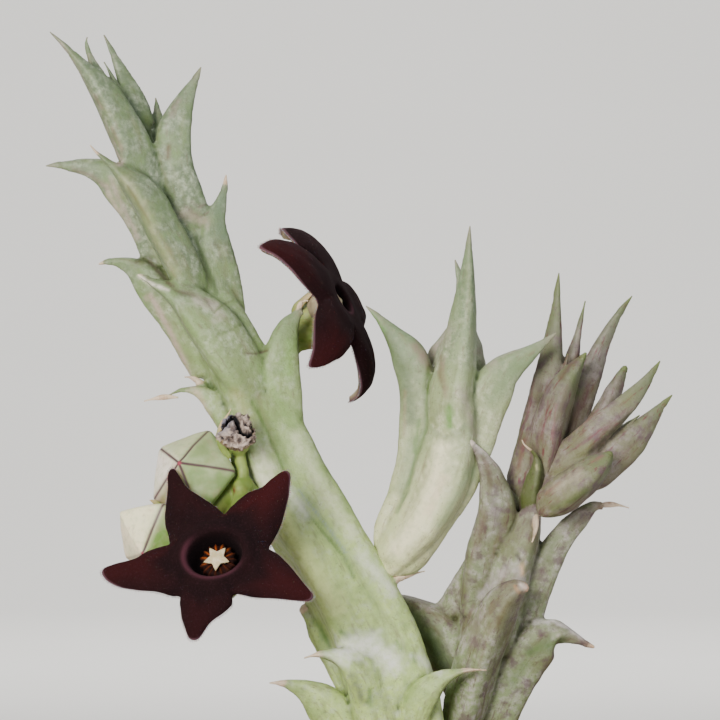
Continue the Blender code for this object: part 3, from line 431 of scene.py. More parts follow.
leftStem = dict(
    name="left_stem", nodes=["stem_left"], voxel=0.235, slot="pale_green_skin",
    spine=[(-4.2, 0.6, 55.0), (-3.9, 0.6, 66.0), (-4.0, 0.5, 76.0), (-4.8, 0.4, 82.0), (-6.5, 0.3, 87.5),
           (-8.6, 0.2, 92.0), (-11.4, 0.0, 97.0), (-14.5, 0.0, 102.0), (-16.8, 0.0, 107.0),
           (-18.9, 0.0, 112.0), (-21.7, 0.2, 118.2), (-23.6, 0.3, 121.6), (-25.7, 0.5, 127.0),
           (-27.7, 0.8, 131.4),
           (-29.6, 1.0, 136.0), (-30.9, 1.1, 140.0)],
    radii=[4.5, 4.6, 4.8, 4.9, 4.8, 4.6, 4.5, 4.6, 4.3, 3.9, 3.4, 3.2, 2.9, 2.6, 2.0, 1.0],
    twist=(45.0, 8.0), ridge=0.15,
    teeth=[
        # crown
        tooth((152, 208, -0.2, 1.7), (140, 172, -1.5, 1.85), (130, 144, -2.0, 1.95), (114, 111, -2.2, 1.68),
              (99, 86, -2.5, 1.26), (82, 65, -2.8, 0.70), (65, 46, -2.9, 0.28), (50, 32, -3.0, 0.05)),
        horn((-29.4, 1.4, 137.0), (-31.2, 1.6, 142.8), (-33.7, 1.8, 148.6), 2.7, 0.95),
        horn((-31.2, 0.4, 139.2), (-34.6, 0.5, 145.4), (-35.3, 0.6, 148.3), 1.6, 1.2),
        horn((-31.0, 0.6, 139.6), (-32.5, 0.3, 143.6), (-33.6, 0.2, 145.8), 0.8),
        horn((-28.6, 3.0, 137.0), (-28.4, 3.6, 140.0), (-28.6, 3.9, 142.4), 1.9),
        tooth((200, 236, 1.0, 1.4), (186, 200, 0.2, 1.85), (175, 166, -0.7, 1.70), (173, 136, -0.9, 1.72),
              (178, 117, -1.0, 1.42), (186, 98, -1.0, 0.92), (195, 80, -1.0, 0.42), (201, 67, -1.0, 0.05)),
        # left and front, downwards
        tooth((160, 264, 1.0, 1.3), (141, 218, 0.2, 1.45), (124, 190, 0.1, 1.70), (108, 174, 0.1, 1.50),
              (90, 168, 0.1, 1.02), (72, 166, 0.2, 0.62), (58, 165, 0.2, 0.32), (46, 166, 0.2, 0.06)),
        tooth((200, 306, -0.6, 1.2), (190, 284, -2.0, 1.75), (176, 256, -2.8, 1.85), (162, 230, -3.0, 1.85),
              (149, 204, -3.3, 1.80), (135, 186, -3.7, 1.45), (120, 172, -4.0, 0.78), (108, 162, -4.2, 0.34),
              (97, 153, -4.4, 0.15), (90, 145, -4.6, 0.05), dry=0.12),
        tooth((205, 372, 1.2, 1.3), (186, 334, 0.6, 1.5), (166, 302, 0.4, 1.75), (150, 280, 0.2, 1.65),
              (134, 267, 0.2, 1.05), (118, 262, 0.2, 0.55), (107, 262, 0.2, 0.28), (99, 264, 0.2, 0.08),
              dry=0.10),
        tooth((262, 412, -0.8, 1.6), (236, 366, -2.2, 2.50), (212, 330, -2.8, 2.60), (190, 306, -3.3, 1.95),
              (170, 292, -3.9, 1.10), (155, 284, -4.2, 0.60), (145, 278, -4.4, 0.30), (138, 275, -4.6, 0.10),
              dry=0.08),
        horn((-20.6, -0.8, 108.5), (-23.6, -1.2, 112.6), (-27.2, -1.4, 112.4), 2.1, 1.1),
        horn((-26.8, -1.4, 112.4), (-28.2, -1.5, 112.2), (-29.5, -1.6, 111.9), 0.5, dry=1.0),
        horn((-23.2, -0.2, 112.4), (-24.2, -0.4, 113.9), (-25.5, -0.6, 114.3), 1.0, dry=0.6),
        # right, downwards
        tooth((237, 324, 0.6, 0.9), (226, 284, 0.5, 1.42), (214, 246, 0.2, 1.52), (213, 224, 0.0, 1.20),
              (219, 206, 0.2, 0.74), (224, 190, 0.3, 0.36), (226, 175, 0.4, 0.06), dry=0.10),
        tooth((287, 438, -0.2, 1.6), (280, 400, -0.8, 2.00), (279, 368, -1.1, 1.90), (282, 344, -1.3, 1.50),
              (288, 327, -1.4, 1.10), (296, 316, -1.5, 0.60), (301, 311, -1.5, 0.35)),
        horn((-14.2, -1.4, 120.8), (-13.9, -1.5, 121.7), (-13.2, -1.7, 121.9), 0.6, dry=1.0),
        # foot
        horn((-10.0, 1.8, 84.5), (-12.6, 2.2, 89.4), (-13.9, 2.2, 91.0), 2.2, 1.0, 0.5, dry=0.3),
        horn((-6.8, -2.8, 82.0), (-9.4, -4.4, 86.2), (-13.5, -5.0, 86.5), 3.4, 1.25, dry=0.26),
        horn((-8.6, -0.6, 78.0), (-12.4, -1.2, 82.5), (-17.0, -1.6, 83.8), 4.4, 1.15, dry=0.24),
        horn((-5.2, -1.2, 93.9), (-3.4, -1.5, 94.5), (-1.55, -1.5, 94.95), 0.95, 1.1, dry=1.0, sink=0.3),
        horn((-3.4, -2.6, 79.0), (-0.4, -4.4, 84.0), (4.5, -5.2, 85.3), 3.2, 1.35, dry=0.28),
        # back
        horn((-13.2, 3.2, 97.0), (-15.6, 6.4, 102.6), (-19.0, 8.6, 105.6), 3.6, 1.15, dry=0.12),
        horn((-19.6, 3.2, 112.4), (-22.6, 6.0, 119.0), (-26.6, 7.8, 121.4), 3.6, 1.15),
        horn((-24.6, 3.0, 124.6), (-27.6, 5.0, 131.0), (-31.4, 6.6, 133.6), 3.2, 1.15),
        horn((-6.4, 3.4, 82.0), (-6.6, 6.6, 86.4), (-8.6, 9.2, 88.8), 3.4, 1.15, dry=0.2),
    ],
    # brush strokes: colour, strength, half width and depth of the line pressed in, and its picture positions
    strokes=[
        ("#bda59f", 1.0, 3.4, 0.0, (60, 47), (77, 75), (99, 121), (120, 163)),  # keel of the top tooth
        ("#8b7466", 0.55, 2.2, 0.0, (112, 128), (122, 150)),
        ("#8b7466", 0.5, 2.0, 0.0, (96, 96), (102, 108)),
        ("#5f5138", 0.85, 3.0, 0.0, (168, 147), (168, 157)),  # dark spot
        ("#7e6a64", 0.6, 2.2, 0.0, (178, 100), (171, 116)),
        ("#b7a29c", 0.6, 2.6, 0.0, (110, 178), (122, 205), (138, 238)),  # pink edge below
        ("#7d6a60", 0.6, 2.4, 0.0, (75, 170), (92, 176), (106, 188)),
        ("#a09f72", 0.5, 6.5, 0.0, (124, 180), (143, 205), (156, 240), (174, 272)),  # yellow front ridge
        ("#6f6c46", 0.7, 2.2, 0.0, (128, 186), (150, 222)),
        ("#6f6c46", 0.7, 2.4, 0.0, (158, 232), (176, 262)),
        ("#6f7a50", 0.6, 3.0, 0.0, (113, 166), (136, 180)),
        ("#4f6238", 0.9, 2.6, 0.14, (196, 238), (203, 256), (214, 280), (217, 292)),  # painted shade in a groove
        ("#5d4d44", 0.75, 1.2, 0.10, (186, 206), (192, 213), (201, 217), (208, 212)),  # painted shade in the creases at a foot
        ("#5d4d44", 0.7, 1.1, 0.08, (191, 201), (198, 207), (206, 205)),
        ("#a49586", 0.6, 6.0, 0.0, (184, 214), (206, 222)),
        ("#51503a", 0.75, 1.8, 0.05, (214, 244), (219, 247)),  # ring scar
        ("#6b6a48", 0.6, 2.2, 0.0, (224, 268), (226, 276)),
        ("#6b6a48", 0.6, 2.0, 0.0, (233, 290), (236, 296)),
        ("#e6e0d2", 0.9, 1.6, 0.0, (139, 276), (152, 284), (168, 290)),  # painted highlight on the upper edge
        # painted shade in the crease below a tooth's foot
        ("#5a4f42", 0.8, 2.6, 0.12, (150, 262), (166, 280), (178, 291), (196, 296), (214, 303)),
        ("#4d4a34", 0.7, 3.5, 0.0, (136, 262), (150, 258)),
        ("#b8b3a2", 0.8, 5.0, 0.0, (196, 300), (215, 306), (218, 318)),
        ("#5b5240", 0.7, 1.6, 0.05, (205, 298), (212, 310)),
        ("#6a7a4a", 0.8, 1.3, 0.10, (214, 312), (224, 304), (234, 300)),  # painted shade in the ring creases
        ("#6a7a4a", 0.8, 1.3, 0.10, (218, 334), (230, 330), (243, 324)),
        ("#5c4d3c", 0.8, 1.3, 0.10, (243, 352), (256, 354), (268, 350)),
        ("#7fae52", 0.5, 7.0, 0.0, (290, 345), (289, 372)),  # painted shade, fresh green, on the right side
        ("#c3ad98", 0.75, 4.0, 0.0, (196, 392), (206, 414), (216, 432)),  # pinkish left edge
        ("#62785c", 0.75, 5.0, 0.0, (222, 192), (218, 214), (222, 238)),  # painted shade on the right tooth
        ("#74844c", 0.6, 6.0, 0.0, (240, 372), (252, 396), (262, 420)),
        ("#c9b2a8", 0.6, 3.0, 0.0, (106, 186), (118, 212), (132, 240)),
        ("#b99f98", 0.75, 3.4, 0.0, (150, 296), (166, 324), (182, 356), (192, 384)),
        ("#f0efd6", 0.6, 6.0, 0.0, (256, 470), (272, 492)),
        ("#a9a268", 0.45, 6.0, 0.0, (236, 392), (252, 430)),
        ("#7ea055", 0.55, 6.0, 0.0, (262, 370), (300, 440), (322, 486)),
        ("#8a7c5c", 0.45, 2.6, 0.0, (258, 395), (276, 450)),
        ("#dfe0c2", 0.7, 8.0, 0.0, (262, 455), (272, 480)),  # pale swelling
       
        ("#7f9a52", 0.40, 6.5, 0.42, (262, 408), (279, 440), (293, 474), (318, 514), (350, 562), (378, 606)),
        ("#5f7d3c", 0.80, 1.8, 0.12, (252, 402), (264, 424), (276, 450), (292, 488), (310, 516), (345, 558),
         (354, 578)),
        ("#8796a0", 0.6, 1.3, 0.0, (299, 490), (318, 514), (346, 552)),  # bluish vein
        ("#6f8f45", 0.7, 5.0, 0.0, (286, 503), (300, 540), (322, 574)),
        ("#d8e69a", 0.85, 10.0, 0.0, (284, 516), (312, 566), (338, 608)),
        ("#d6dbb8", 0.6, 7.0, 0.0, (296, 436), (322, 486), (352, 534)),
        ("#dfe3d2", 0.7, 6.0, 0.0, (288, 490), (304, 512)),
        ("#e0e3d6", 0.6, 7.0, 0.0, (362, 556), (392, 592)),
        ("#557c34", 0.9, 3.0, 0.05, (341, 632), (347, 637)),  # fresh dots
        ("#557c34", 0.7, 1.6, 0.0, (396, 640), (402, 650)),
        ("#557c34", 0.7, 1.4, 0.0, (412, 655), (415, 662)),
        ("#f0f2ea", 0.85, 11.0, 0.0, (340, 652), (368, 642), (392, 662)),  # whitish scuffs
        ("#d9ddd0", 0.7, 5.0, 0.0, (420, 658), (440, 672)),
        ("#557c34", 0.7, 5.0, 0.0, (318, 622), (330, 646)),
        ("#4e5a36", 0.6, 4.0, 0.0, (352, 676), (362, 700)),
        ("#557c34", 0.6, 3.0, 0.0, (369, 690), (371, 706)),
    ],
)

middleStem = dict(
    name="middle_stem", nodes=["stem_middle"], slot="cream_green_skin",
    spine=[(-5.0, -1.0, 94.9), (-4.4, -1.0, 95.9), (-3.4, -1.0, 97.4), (-1.9, -1.0, 99.8),
           (-0.9, -1.0, 102.2), (-0.2, -1.0, 105.2), (0.3, -0.6, 108.4), (0.6, -0.2, 111.8),
           (0.9, 0.2, 115.2), (1.1, 0.4, 118.2)],
    radii=[1.2, 2.4, 2.8, 2.9, 2.9, 2.9, 2.8, 2.4, 1.8, 1.0],
    twist=(40.0, 10.0), ridge=0.06,
    teeth=[
        # left: a long fleshy body from the foot up
        tooth((384, 552, -0.8, 0.9), (389, 528, -0.9, 1.35), (404, 496, -1.0, 1.55), (413, 462, -1.0, 1.55),
              (416, 430, -1.0, 1.52), (418, 402, -0.8, 1.62), (417, 376, -0.6, 1.78), (409, 354, -0.6, 1.72),
              (393, 334, -0.7, 0.92), (378, 317, -0.6, 0.38), (366, 306, -0.6, 0.05)),
        # front: the lower body, a dome that ends below the long tooth
        tooth((387, 570, -1.2, 1.2), (396, 556, -1.4, 2.1), (416, 530, -1.8, 2.75), (438, 492, -2.0, 3.05),
              (448, 460, -2.1, 3.12), (453, 438, -2.1, 2.85), (454, 420, -2.2, 2.62), (454, 402, -2.2, 2.30),
              (455, 386, -2.1, 1.7), (456, 374, -2.0, 0.7)),
        tooth((453, 452, -2.2, 2.5), (453, 428, -2.5, 2.42), (452, 400, -2.65, 2.45), (458, 362, -2.9, 2.02),
              (463, 328, -3.0, 1.52), (466, 298, -3.1, 1.12), (468, 268, -3.1, 0.72), (469, 244, -3.2, 0.32),
              (470, 226, -3.2, 0.05)),
        tooth((461, 336, 0.6, 0.9), (462, 304, 0.7, 0.72), (459.5, 280, 0.8, 0.42), (455, 260, 0.8, 0.06)),
        # right: its outer edge is the stem's right side
        tooth((435, 522, -1.0, 1.5), (453, 486, -1.6, 2.00), (468, 448, -1.8, 2.15), (482, 410, -1.5, 2.15),
              (490, 390, -1.5, 2.12), (500, 374, -1.8, 1.80), (512, 364, -2.1, 1.38), (528, 354, -2.6, 0.86),
              (543, 343, -2.9, 0.42), (556, 333, -3.2, 0.05)),
        # back
        tooth((452, 440, 1.6, 1.8), (456, 404, 2.2, 2.90), (458, 378, 2.4, 3.25), (459, 360, 2.5, 3.15),
              (461, 347, 2.6, 2.55), (462, 335, 2.8, 1.85), (463, 322, 3.1, 1.15), (463, 306, 3.6, 0.45),
              (463, 295, 4.0, 0.05)),
    ],
    strokes=[
        ("#7f9468", 0.9, 2.2, 0.12, (427, 392), (426, 428), (413, 463), (408, 490), (396, 512)),
        ("#62923f", 0.9, 4.2, 0.05, (449, 408), (450, 426)),  # fresh patch
        ("#5d7048", 0.9, 8.0, 0.0, (384, 332), (404, 372), (410, 420)),  # painted shade on the left tooth
        ("#7f9468", 0.6, 7.0, 0.0, (412, 440), (402, 490)),
        ("#728a5c", 0.6, 7.0, 0.0, (516, 366), (492, 400)),
        ("#6b9a55", 0.6, 2.6, 0.0, (372, 314), (384, 330)),
        ("#8c7a58", 0.5, 2.0, 0.0, (405, 392), (404, 436)),
        ("#5f8040", 0.7, 2.6, 0.0, (419, 420), (414, 452)),
        ("#93a87a", 0.5, 5.0, 0.0, (486, 450), (476, 478)),
        ("#8da578", 0.55, 6.0, 0.0, (470, 470), (440, 524)),  # greener right flank
        ("#6f6547", 0.8, 2.4, 0.0, (441, 356), (440, 376), (443, 388)),
        ("#93836c", 0.6, 3.2, 0.0, (442, 366), (446, 396)),
        ("#a89b90", 0.9, 9.0, 0.0, (428, 356), (442, 330)),
        ("#a39c8c", 0.9, 8.0, 0.0, (482, 334), (488, 360)),
        ("#8c7a6c", 0.8, 5.0, 0.0, (416, 346), (430, 366)),
        ("#566a36", 0.7, 2.6, 0.05, (429, 368), (427, 392)),
        ("#a8988e", 0.6, 3.0, 0.0, (478, 352), (498, 354), (520, 348)),
        ("#9d8b84", 0.5, 3.0, 0.0, (468, 415), (476, 436)),
        ("#a79a90", 0.5, 5.0, 0.0, (462, 392), (470, 420)),
        # painted shade along the top of the lower body, where it meets the long tooth
        ("#8f9a70", 0.7, 2.4, 0.08, (428, 424), (438, 412), (446, 404)),
        ("#8f9a70", 0.5, 2.4, 0.04, (455, 404), (464, 414), (472, 430)),
        # painted highlight down the middle of the lower body
        ("#f6f1cc", 0.9, 9.0, 0.0, (400, 548), (422, 516), (436, 478), (442, 448)),
        ("#e3cdb0", 0.45, 5.0, 0.0, (428, 512), (444, 478)),
        ("#c6d39a", 0.5, 4.0, 0.0, (380, 548), (398, 512)),
    ],
)

rightStem = dict(
    name="right_stem", nodes=["stem_right"], slot="mottled_mauve_skin",
    spine=[(5.4, 4.6, 55.0), (4.4, 4.6, 66.0), (3.4, 4.4, 76.0), (3.7, 4.0, 82.0), (4.6, 3.5, 88.0),
           (5.9, 3.0, 94.0), (7.1, 2.4, 99.0), (8.0, 2.0, 102.4), (8.5, 1.8, 104.2)],
    radii=[3.1, 3.1, 3.0, 3.1, 3.4, 3.5, 3.2, 2.4, 1.0],
    twist=(40.0, 20.0), ridge=0.09,
    teeth=[
        # front finger with its pale orange end
        tooth((462, 735, 1.6, 2.0), (468, 700, 0.2, 2.35), (480, 656, -1.2, 2.35), (493, 624, -2.4, 2.20),
              (504, 603, -3.4, 1.85), (514, 592, -4.1, 1.30), (522, 588, -4.5, 0.80), (527, 588, -4.7, 0.36),
              warm=1.0),
        tooth((498, 648, 1.8, 2.1), (506, 596, 0.6, 2.35), (516, 556, -0.4, 2.20), (526, 530, -1.0, 1.72),
              (533, 514, -1.6, 1.05), (537, 507, -1.9, 0.50), (538, 504, -2.0, 0.20), dry=0.06),
        horn((9.5, -2.0, 100.6), (9.5, -3.1, 99.4), (9.1, -3.3, 97.9), 0.62, 0.8, 0.08, dry=1.0, sink=0.0),
        # left, right and behind
        tooth((480, 610, 2.6, 2.3), (486, 556, 0.9, 2.30), (495, 512, -1.2, 2.00), (491, 480, -2.4, 1.36),
              (482, 458, -3.4, 0.72), (473, 445, -4.3, 0.36), (466, 437, -4.9, 0.08), dry=0.13),
        tooth((517, 650, 2.2, 1.6), (527, 604, 1.6, 1.75), (545, 563, 1.0, 1.50), (562, 535, 0.8, 1.24),
              (578, 518, 0.6, 1.02), (592, 507, 0.4, 0.62), (602, 506, 0.4, 0.36)),
        horn((16.3, 0.4, 101.5), (17.6, 0.4, 101.5), (18.9, 0.4, 101.2), 0.6, 0.9, 0.06, dry=1.0, warm=0.6,
             sink=0.0),
        tooth((486, 745, 3.0, 2.0), (500, 700, 2.4, 2.20), (518, 664, 1.8, 2.35), (539, 640, 1.3, 2.12),
              (553, 633, 1.0, 1.42), (566, 634.5, 0.9, 0.92), (577, 639, 0.8, 0.55), (587, 644, 0.8, 0.32),
              (594, 647, 0.8, 0.14), dry=0.10, warm=0.8),
        tooth((474, 690, 4.6, 2.4), (456, 652, 4.7, 2.70), (437, 627, 4.9, 2.30), (419, 611, 5.1, 1.45),
              (404, 600, 5.3, 0.66), (394, 594, 5.5, 0.10), dry=0.06),
        # a web between it and the stem
        tooth((481, 556, 2.4, 1.1), (471, 582, 3.3, 1.5), (457, 603, 4.3, 1.45), (442, 612, 4.9, 1.0),
              (428, 614, 5.1, 0.5)),
        tooth((532, 512, -0.8, 0.95), (532, 497, -1.4, 1.10), (535, 482, -1.9, 1.05), (537, 468, -2.4, 0.72),
              (536.5, 458, -2.8, 0.36), (533, 452, -3.1, 0.18), (527.5, 447.5, -3.3, 0.10),
              (524, 444, -3.4, 0.08), (522, 440, -3.45, 0.04), dry=0.30, olive=0.85),
        horn((5.6, 5.4, 90.0), (7.4, 8.8, 95.6), (7.6, 11.4, 98.6), 3.6, 1.15, dry=0.1),
    ],
    strokes=[
        ("#ddd4cb", 0.85, 2.2, 0.0, (469, 440), (484, 450), (496, 460)),  # dry upper edge
        ("#b3a09c", 0.7, 2.8, 0.0, (496, 460), (508, 474), (518, 490)),
        ("#5a4f3a", 0.7, 2.6, 0.0, (486, 470), (492, 486)),
        ("#6b5a48", 0.6, 5.0, 0.0, (484, 512), (478, 545)),
        ("#6d6c4c", 0.6, 5.0, 0.0, (470, 560), (462, 590)),
        ("#7b6a72", 0.6, 4.0, 0.0, (492, 500), (500, 530)),
        # painted highlight on the pale end of the front finger
        ("#eadbd2", 0.9, 2.0, 0.0, (520, 584), (525, 588)),
        ("#b98d66", 0.7, 2.0, 0.0, (515, 586), (518, 592)),
        ("#3f4a22", 0.6, 1.6, 0.0, (540, 472), (536, 492)),
        ("#4d5530", 0.8, 0.9, 0.0, (530, 474), (531, 476)),
        ("#55452f", 0.8, 0.9, 0.0, (533, 486), (532, 489)),
        ("#b9b487", 0.8, 1.2, 0.0, (536, 466), (537, 469)),
        ("#3f3a30", 0.85, 2.2, 0.06, (517, 555), (520, 560)),  # scars
        ("#4b3f3a", 0.8, 2.0, 0.05, (505, 565), (508, 570)),
        ("#b9afb0", 0.6, 6.0, 0.0, (494, 578), (512, 568), (522, 576)),  # lilac scuffs
        ("#c9bfc4", 0.6, 4.0, 0.0, (480, 596), (494, 584)),
        ("#d9b894", 0.9, 2.4, 0.0, (522, 566), (523, 574)),
        ("#5f5a40", 0.7, 4.0, 0.0, (528, 520), (532, 534)),
        ("#6e7a48", 0.7, 4.0, 0.0, (524, 546), (530, 552)),
        ("#5f5a34", 0.85, 6.5, 0.0, (508, 602), (499, 622)),  # olive below the end
        ("#8b7a78", 0.5, 6.0, 0.0, (470, 640), (480, 612)),
        ("#62483e", 0.5, 2.4, 0.0, (462, 632), (474, 604)),
        ("#e8e2df", 0.75, 2.6, 0.0, (536, 622), (552, 620), (568, 627), (584, 637)),  # white upper edge
        ("#cfc3c4", 0.7, 2.4, 0.0, (480, 486), (471, 530), (462, 552), (452, 580), (434, 600)),
        ("#5e7a42", 0.75, 6.0, 0.0, (530, 652), (560, 642)),
        ("#5e7a42", 0.6, 6.0, 0.0, (512, 684), (524, 664)),
        ("#6b7d5e", 0.8, 11.0, 0.0, (412, 620), (430, 640), (446, 668)),  # painted shade on the face behind
        ("#a39a94", 0.6, 2.4, 0.0, (396, 594), (414, 598), (432, 602)),
        ("#6b7a4c", 0.6, 5.0, 0.0, (548, 560), (556, 536)),
        ("#9b948a", 0.4, 4.0, 0.0, (560, 530), (578, 510)),
        ("#5b6a3a", 0.7, 3.0, 0.0, (572, 508), (590, 505)),
    ],
)

upperShoot = dict(
    name="upper_shoot", nodes=["shoot_upper"], slot="mottled_mauve_skin",
    spine=[(8.0, 1.4, 101.6), (8.5, 1.2, 104.0), (9.6, 0.9, 107.4), (10.9, 0.6, 111.0), (12.2, 0.4, 114.0)],
    radii=[1.4, 1.9, 2.0, 1.9, 1.2],
    twist=(20.0, 20.0), ridge=0.05,
    teeth=[
        tooth((534, 494, 1.2, 1.2), (534, 466, 1.0, 1.70), (540, 430, 0.9, 1.72), (547, 392, 0.8, 1.50),
              (553, 352, 0.9, 1.12), (556, 318, 0.9, 0.64), (557.5, 294, 1.0, 0.34), (559, 273, 1.0, 0.05)),
        tooth((542, 490, 0.2, 1.2), (545, 460, -0.6, 1.65), (551, 425, -1.4, 1.75), (560, 396, -1.9, 1.60),
              (570, 376, -2.3, 1.10), (579, 363, -2.5, 0.60), (586, 353, -2.6, 0.12)),
        horn((12.4, 1.2, 112.0), (13.5, 1.5, 117.0), (14.6, 1.6, 121.9), 1.6),
        tooth((563, 450, 0.8, 1.2), (575, 412, 0.9, 1.38), (586, 380, 1.0, 1.28), (598, 352, 1.0, 0.90),
              (610, 328, 1.0, 0.60), (621, 310, 1.0, 0.32), (632, 296, 1.0, 0.05)),
        horn((11.0, 2.0, 105.6), (12.6, 4.2, 110.8), (13.8, 5.6, 115.2), 3.2, 1.05),
        horn((11.8, 0.3, 112.4), (12.5, 0.0, 115.2), (12.75, -0.3, 116.6), 0.8),
    ],
    strokes=[
        ("#5d6a3c", 0.8, 5.0, 0.0, (572, 376), (576, 392)),
        ("#4a4636", 0.7, 5.0, 0.0, (541, 386), (538, 402)),
        ("#4b3440", 0.6, 3.0, 0.05, (566, 330), (567, 350)),
        ("#6b3a44", 0.5, 1.4, 0.0, (534, 380), (526, 420)),
        ("#6b3440", 0.6, 1.2, 0.0, (548, 400), (542, 440)),
        ("#83454f", 0.5, 1.2, 0.0, (556, 404), (552, 440)),
        ("#5d4b34", 0.8, 3.0, 0.08, (561, 378), (568, 366), (578, 356)),
        ("#626046", 0.65, 4.0, 0.0, (568, 382), (556, 420)),
        ("#7a3c48", 0.5, 2.4, 0.0, (524, 440), (518, 468)),
        ("#6d6d4a", 0.5, 5.0, 0.0, (574, 400), (568, 420)),
    ],
)

sideShoot = dict(
    name="side_shoot", nodes=["shoot_side"], slot="mottled_mauve_skin",
    spine=[(8.6, 0.8, 101.2), (10.2, -0.4, 102.4), (12.2, -1.4, 103.8), (14.2, -2.0, 105.4),
           (15.8, -2.2, 106.8)],
    radii=[1.4, 2.0, 2.1, 1.9, 1.2],
    twist=(0.0, 0.0), ridge=0.05,
    teeth=[
        tooth((543, 486, -0.6, 1.2), (562, 466, -1.4, 1.52), (583, 446, -2.2, 1.50), (605, 424, -2.8, 1.36),
              (625, 405, -3.1, 1.08), (642, 386, -3.3, 0.70), (653, 371, -3.4, 0.34), (660, 361, -3.5, 0.06)),
        tooth((592, 430, -0.6, 1.0), (607, 404, -0.3, 0.98), (615, 388, -0.1, 0.82), (621, 375, 0.0, 0.55),
              (625.5, 367, 0.0, 0.26)),
        tooth((572, 488, -1.2, 1.2), (592, 474, -1.7, 1.65), (614, 454, -1.9, 1.70), (634, 436, -2.0, 1.40),
              (650, 419, -2.1, 0.86), (662, 405, -2.2, 0.38), (672, 395, -2.2, 0.06)),
        # a blunt, round-ended one in front
        tooth((541, 511, -3.4, 0.8), (549, 505, -4.0, 1.65), (561, 497, -4.6, 2.00), (576, 486, -5.0, 1.92),
              (589, 475, -5.3, 1.70), (600, 465, -5.5, 1.28), (607, 458, -5.6, 0.80), (611, 453, -5.6, 0.30)),
        horn((14.6, -2.2, 106.2), (15.8, -2.2, 107.6), (17.2, -2.2, 108.8), 2.0, 1.0),
        horn((15.2, -2.2, 106.2), (18.2, -2.4, 109.0), (19.8, -2.4, 110.5), 0.9),
        horn((13.2, 0.2, 104.6), (16.6, 2.6, 107.6), (20.2, 4.6, 110.4), 2.8, 1.05),
    ],
    strokes=[
        ("#84464e", 0.5, 1.3, 0.0, (566, 436), (582, 424), (598, 410)),
        ("#6d7046", 0.6, 5.0, 0.0, (612, 412), (630, 396)),
        ("#6d7046", 0.75, 5.0, 0.0, (556, 474), (590, 446)),
        ("#3c3a26", 0.8, 3.0, 0.10, (590, 452), (612, 432), (630, 416)),
        ("#566a36", 0.7, 4.0, 0.0, (552, 508), (572, 500), (586, 490)),
        ("#b9b09a", 0.6, 5.0, 0.0, (556, 488), (580, 474)),
        ("#8d5a52", 0.6, 1.8, 0.0, (592, 462), (602, 456)),
        ("#8d5a52", 0.4, 2.0, 0.0, (546, 494), (560, 482)),
    ],
)


# A tooth's path and half widths at `count` even steps from the share `start` of its length on
def toothPath(each, count, start=0.0):
    line = smoothPath(each["line"], stemMake["drawn"])
    place = start + (1 - start) * np.linspace(0, 1, count)
    index = np.linspace(0, 1, len(line))
    line = np.stack([np.interp(place, index, line[:, axis]) for axis in range(4)], axis=1)
    return line[:, :3], np.maximum(line[:, 3], stemMake["least"])


# Directions of a path: along it, towards `outward` and across both.
def pathFrame(path, outward):
    along = unit(np.gradient(path, axis=0))
    out = unit(outward - (outward * along).sum(axis=-1, keepdims=True) * along)
    return along, out, np.cross(along, out)


# A tooth points its keel away from the stem's middle line.
def toothFrame(each, spine, path):
    middle = each["line"][len(each["line"]) // 2, :3]
    near = spine[((middle - spine) ** 2).sum(axis=1).argmin()]
    return pathFrame(path, middle - near + np.array([0.0, -0.4, 0.0]))


# Surface of a tooth: its path carries a round section with three soft corners and a keel on the outer one.
def toothGrid(each, spine, path, radius, columns=30):
    along, out, side = toothFrame(each, spine, path)
    angle = np.linspace(-np.pi, np.pi, columns, endpoint=False)
    keel = stemMake["keel"] * np.exp(-(angle / stemMake["keelWidth"]) ** 2)
    corner = stemMake["corners"] * np.cos(3 * angle) + keel
    reach = radius[:, None] * (1 - 0.04 + corner)
    grid = (path[:, None] + (reach * np.cos(angle))[..., None] * out[:, None]
            + (reach * np.sin(angle))[..., None] * side[:, None])
    startPole = path[:1] - 0.5 * radius[0] * along[:1]
    endPole = path[-1:] + 0.6 * radius[-1] * along[-1:]
    return np.concatenate([np.repeat(startPole[:, None], columns, axis=1), grid,
                           np.repeat(endPole[:, None], columns, axis=1)])


# Surface of a stem's core: a round section that swells along four angles, carried along the spine and
# scaled so that its width as seen from the front stays what the radii say.
def coreGrid(spec, rows=150, columns=72):
    spine = smoothPath(spec["spine"], rows)
    radius = evenly(spec["radii"], rows)
    along = unit(np.gradient(spine, axis=0))
    side = unit(np.cross(along, (0.0, -1.0, 0.0)))
    front = np.cross(side, along)
    twist = np.radians(np.linspace(*spec["twist"], rows))[:, None]
    angle = np.linspace(0, 2 * np.pi, columns, endpoint=False)
    swell = np.cos(4 * (angle - twist))
    outline = 1 + spec["ridge"] * (swell + 0.25 * swell ** 2)
    outline = 0.97 * outline / np.abs(outline * np.cos(angle)).max(axis=1, keepdims=True)
    reach = radius[:, None] * outline
    grid = (spine[:, None] + (reach * np.cos(angle))[..., None] * side[:, None]
            + (reach * np.sin(angle))[..., None] * front[:, None])
    return np.concatenate([np.repeat(spine[:1, None], columns, axis=1), grid,
                           np.repeat(spine[-1:, None], columns, axis=1)])


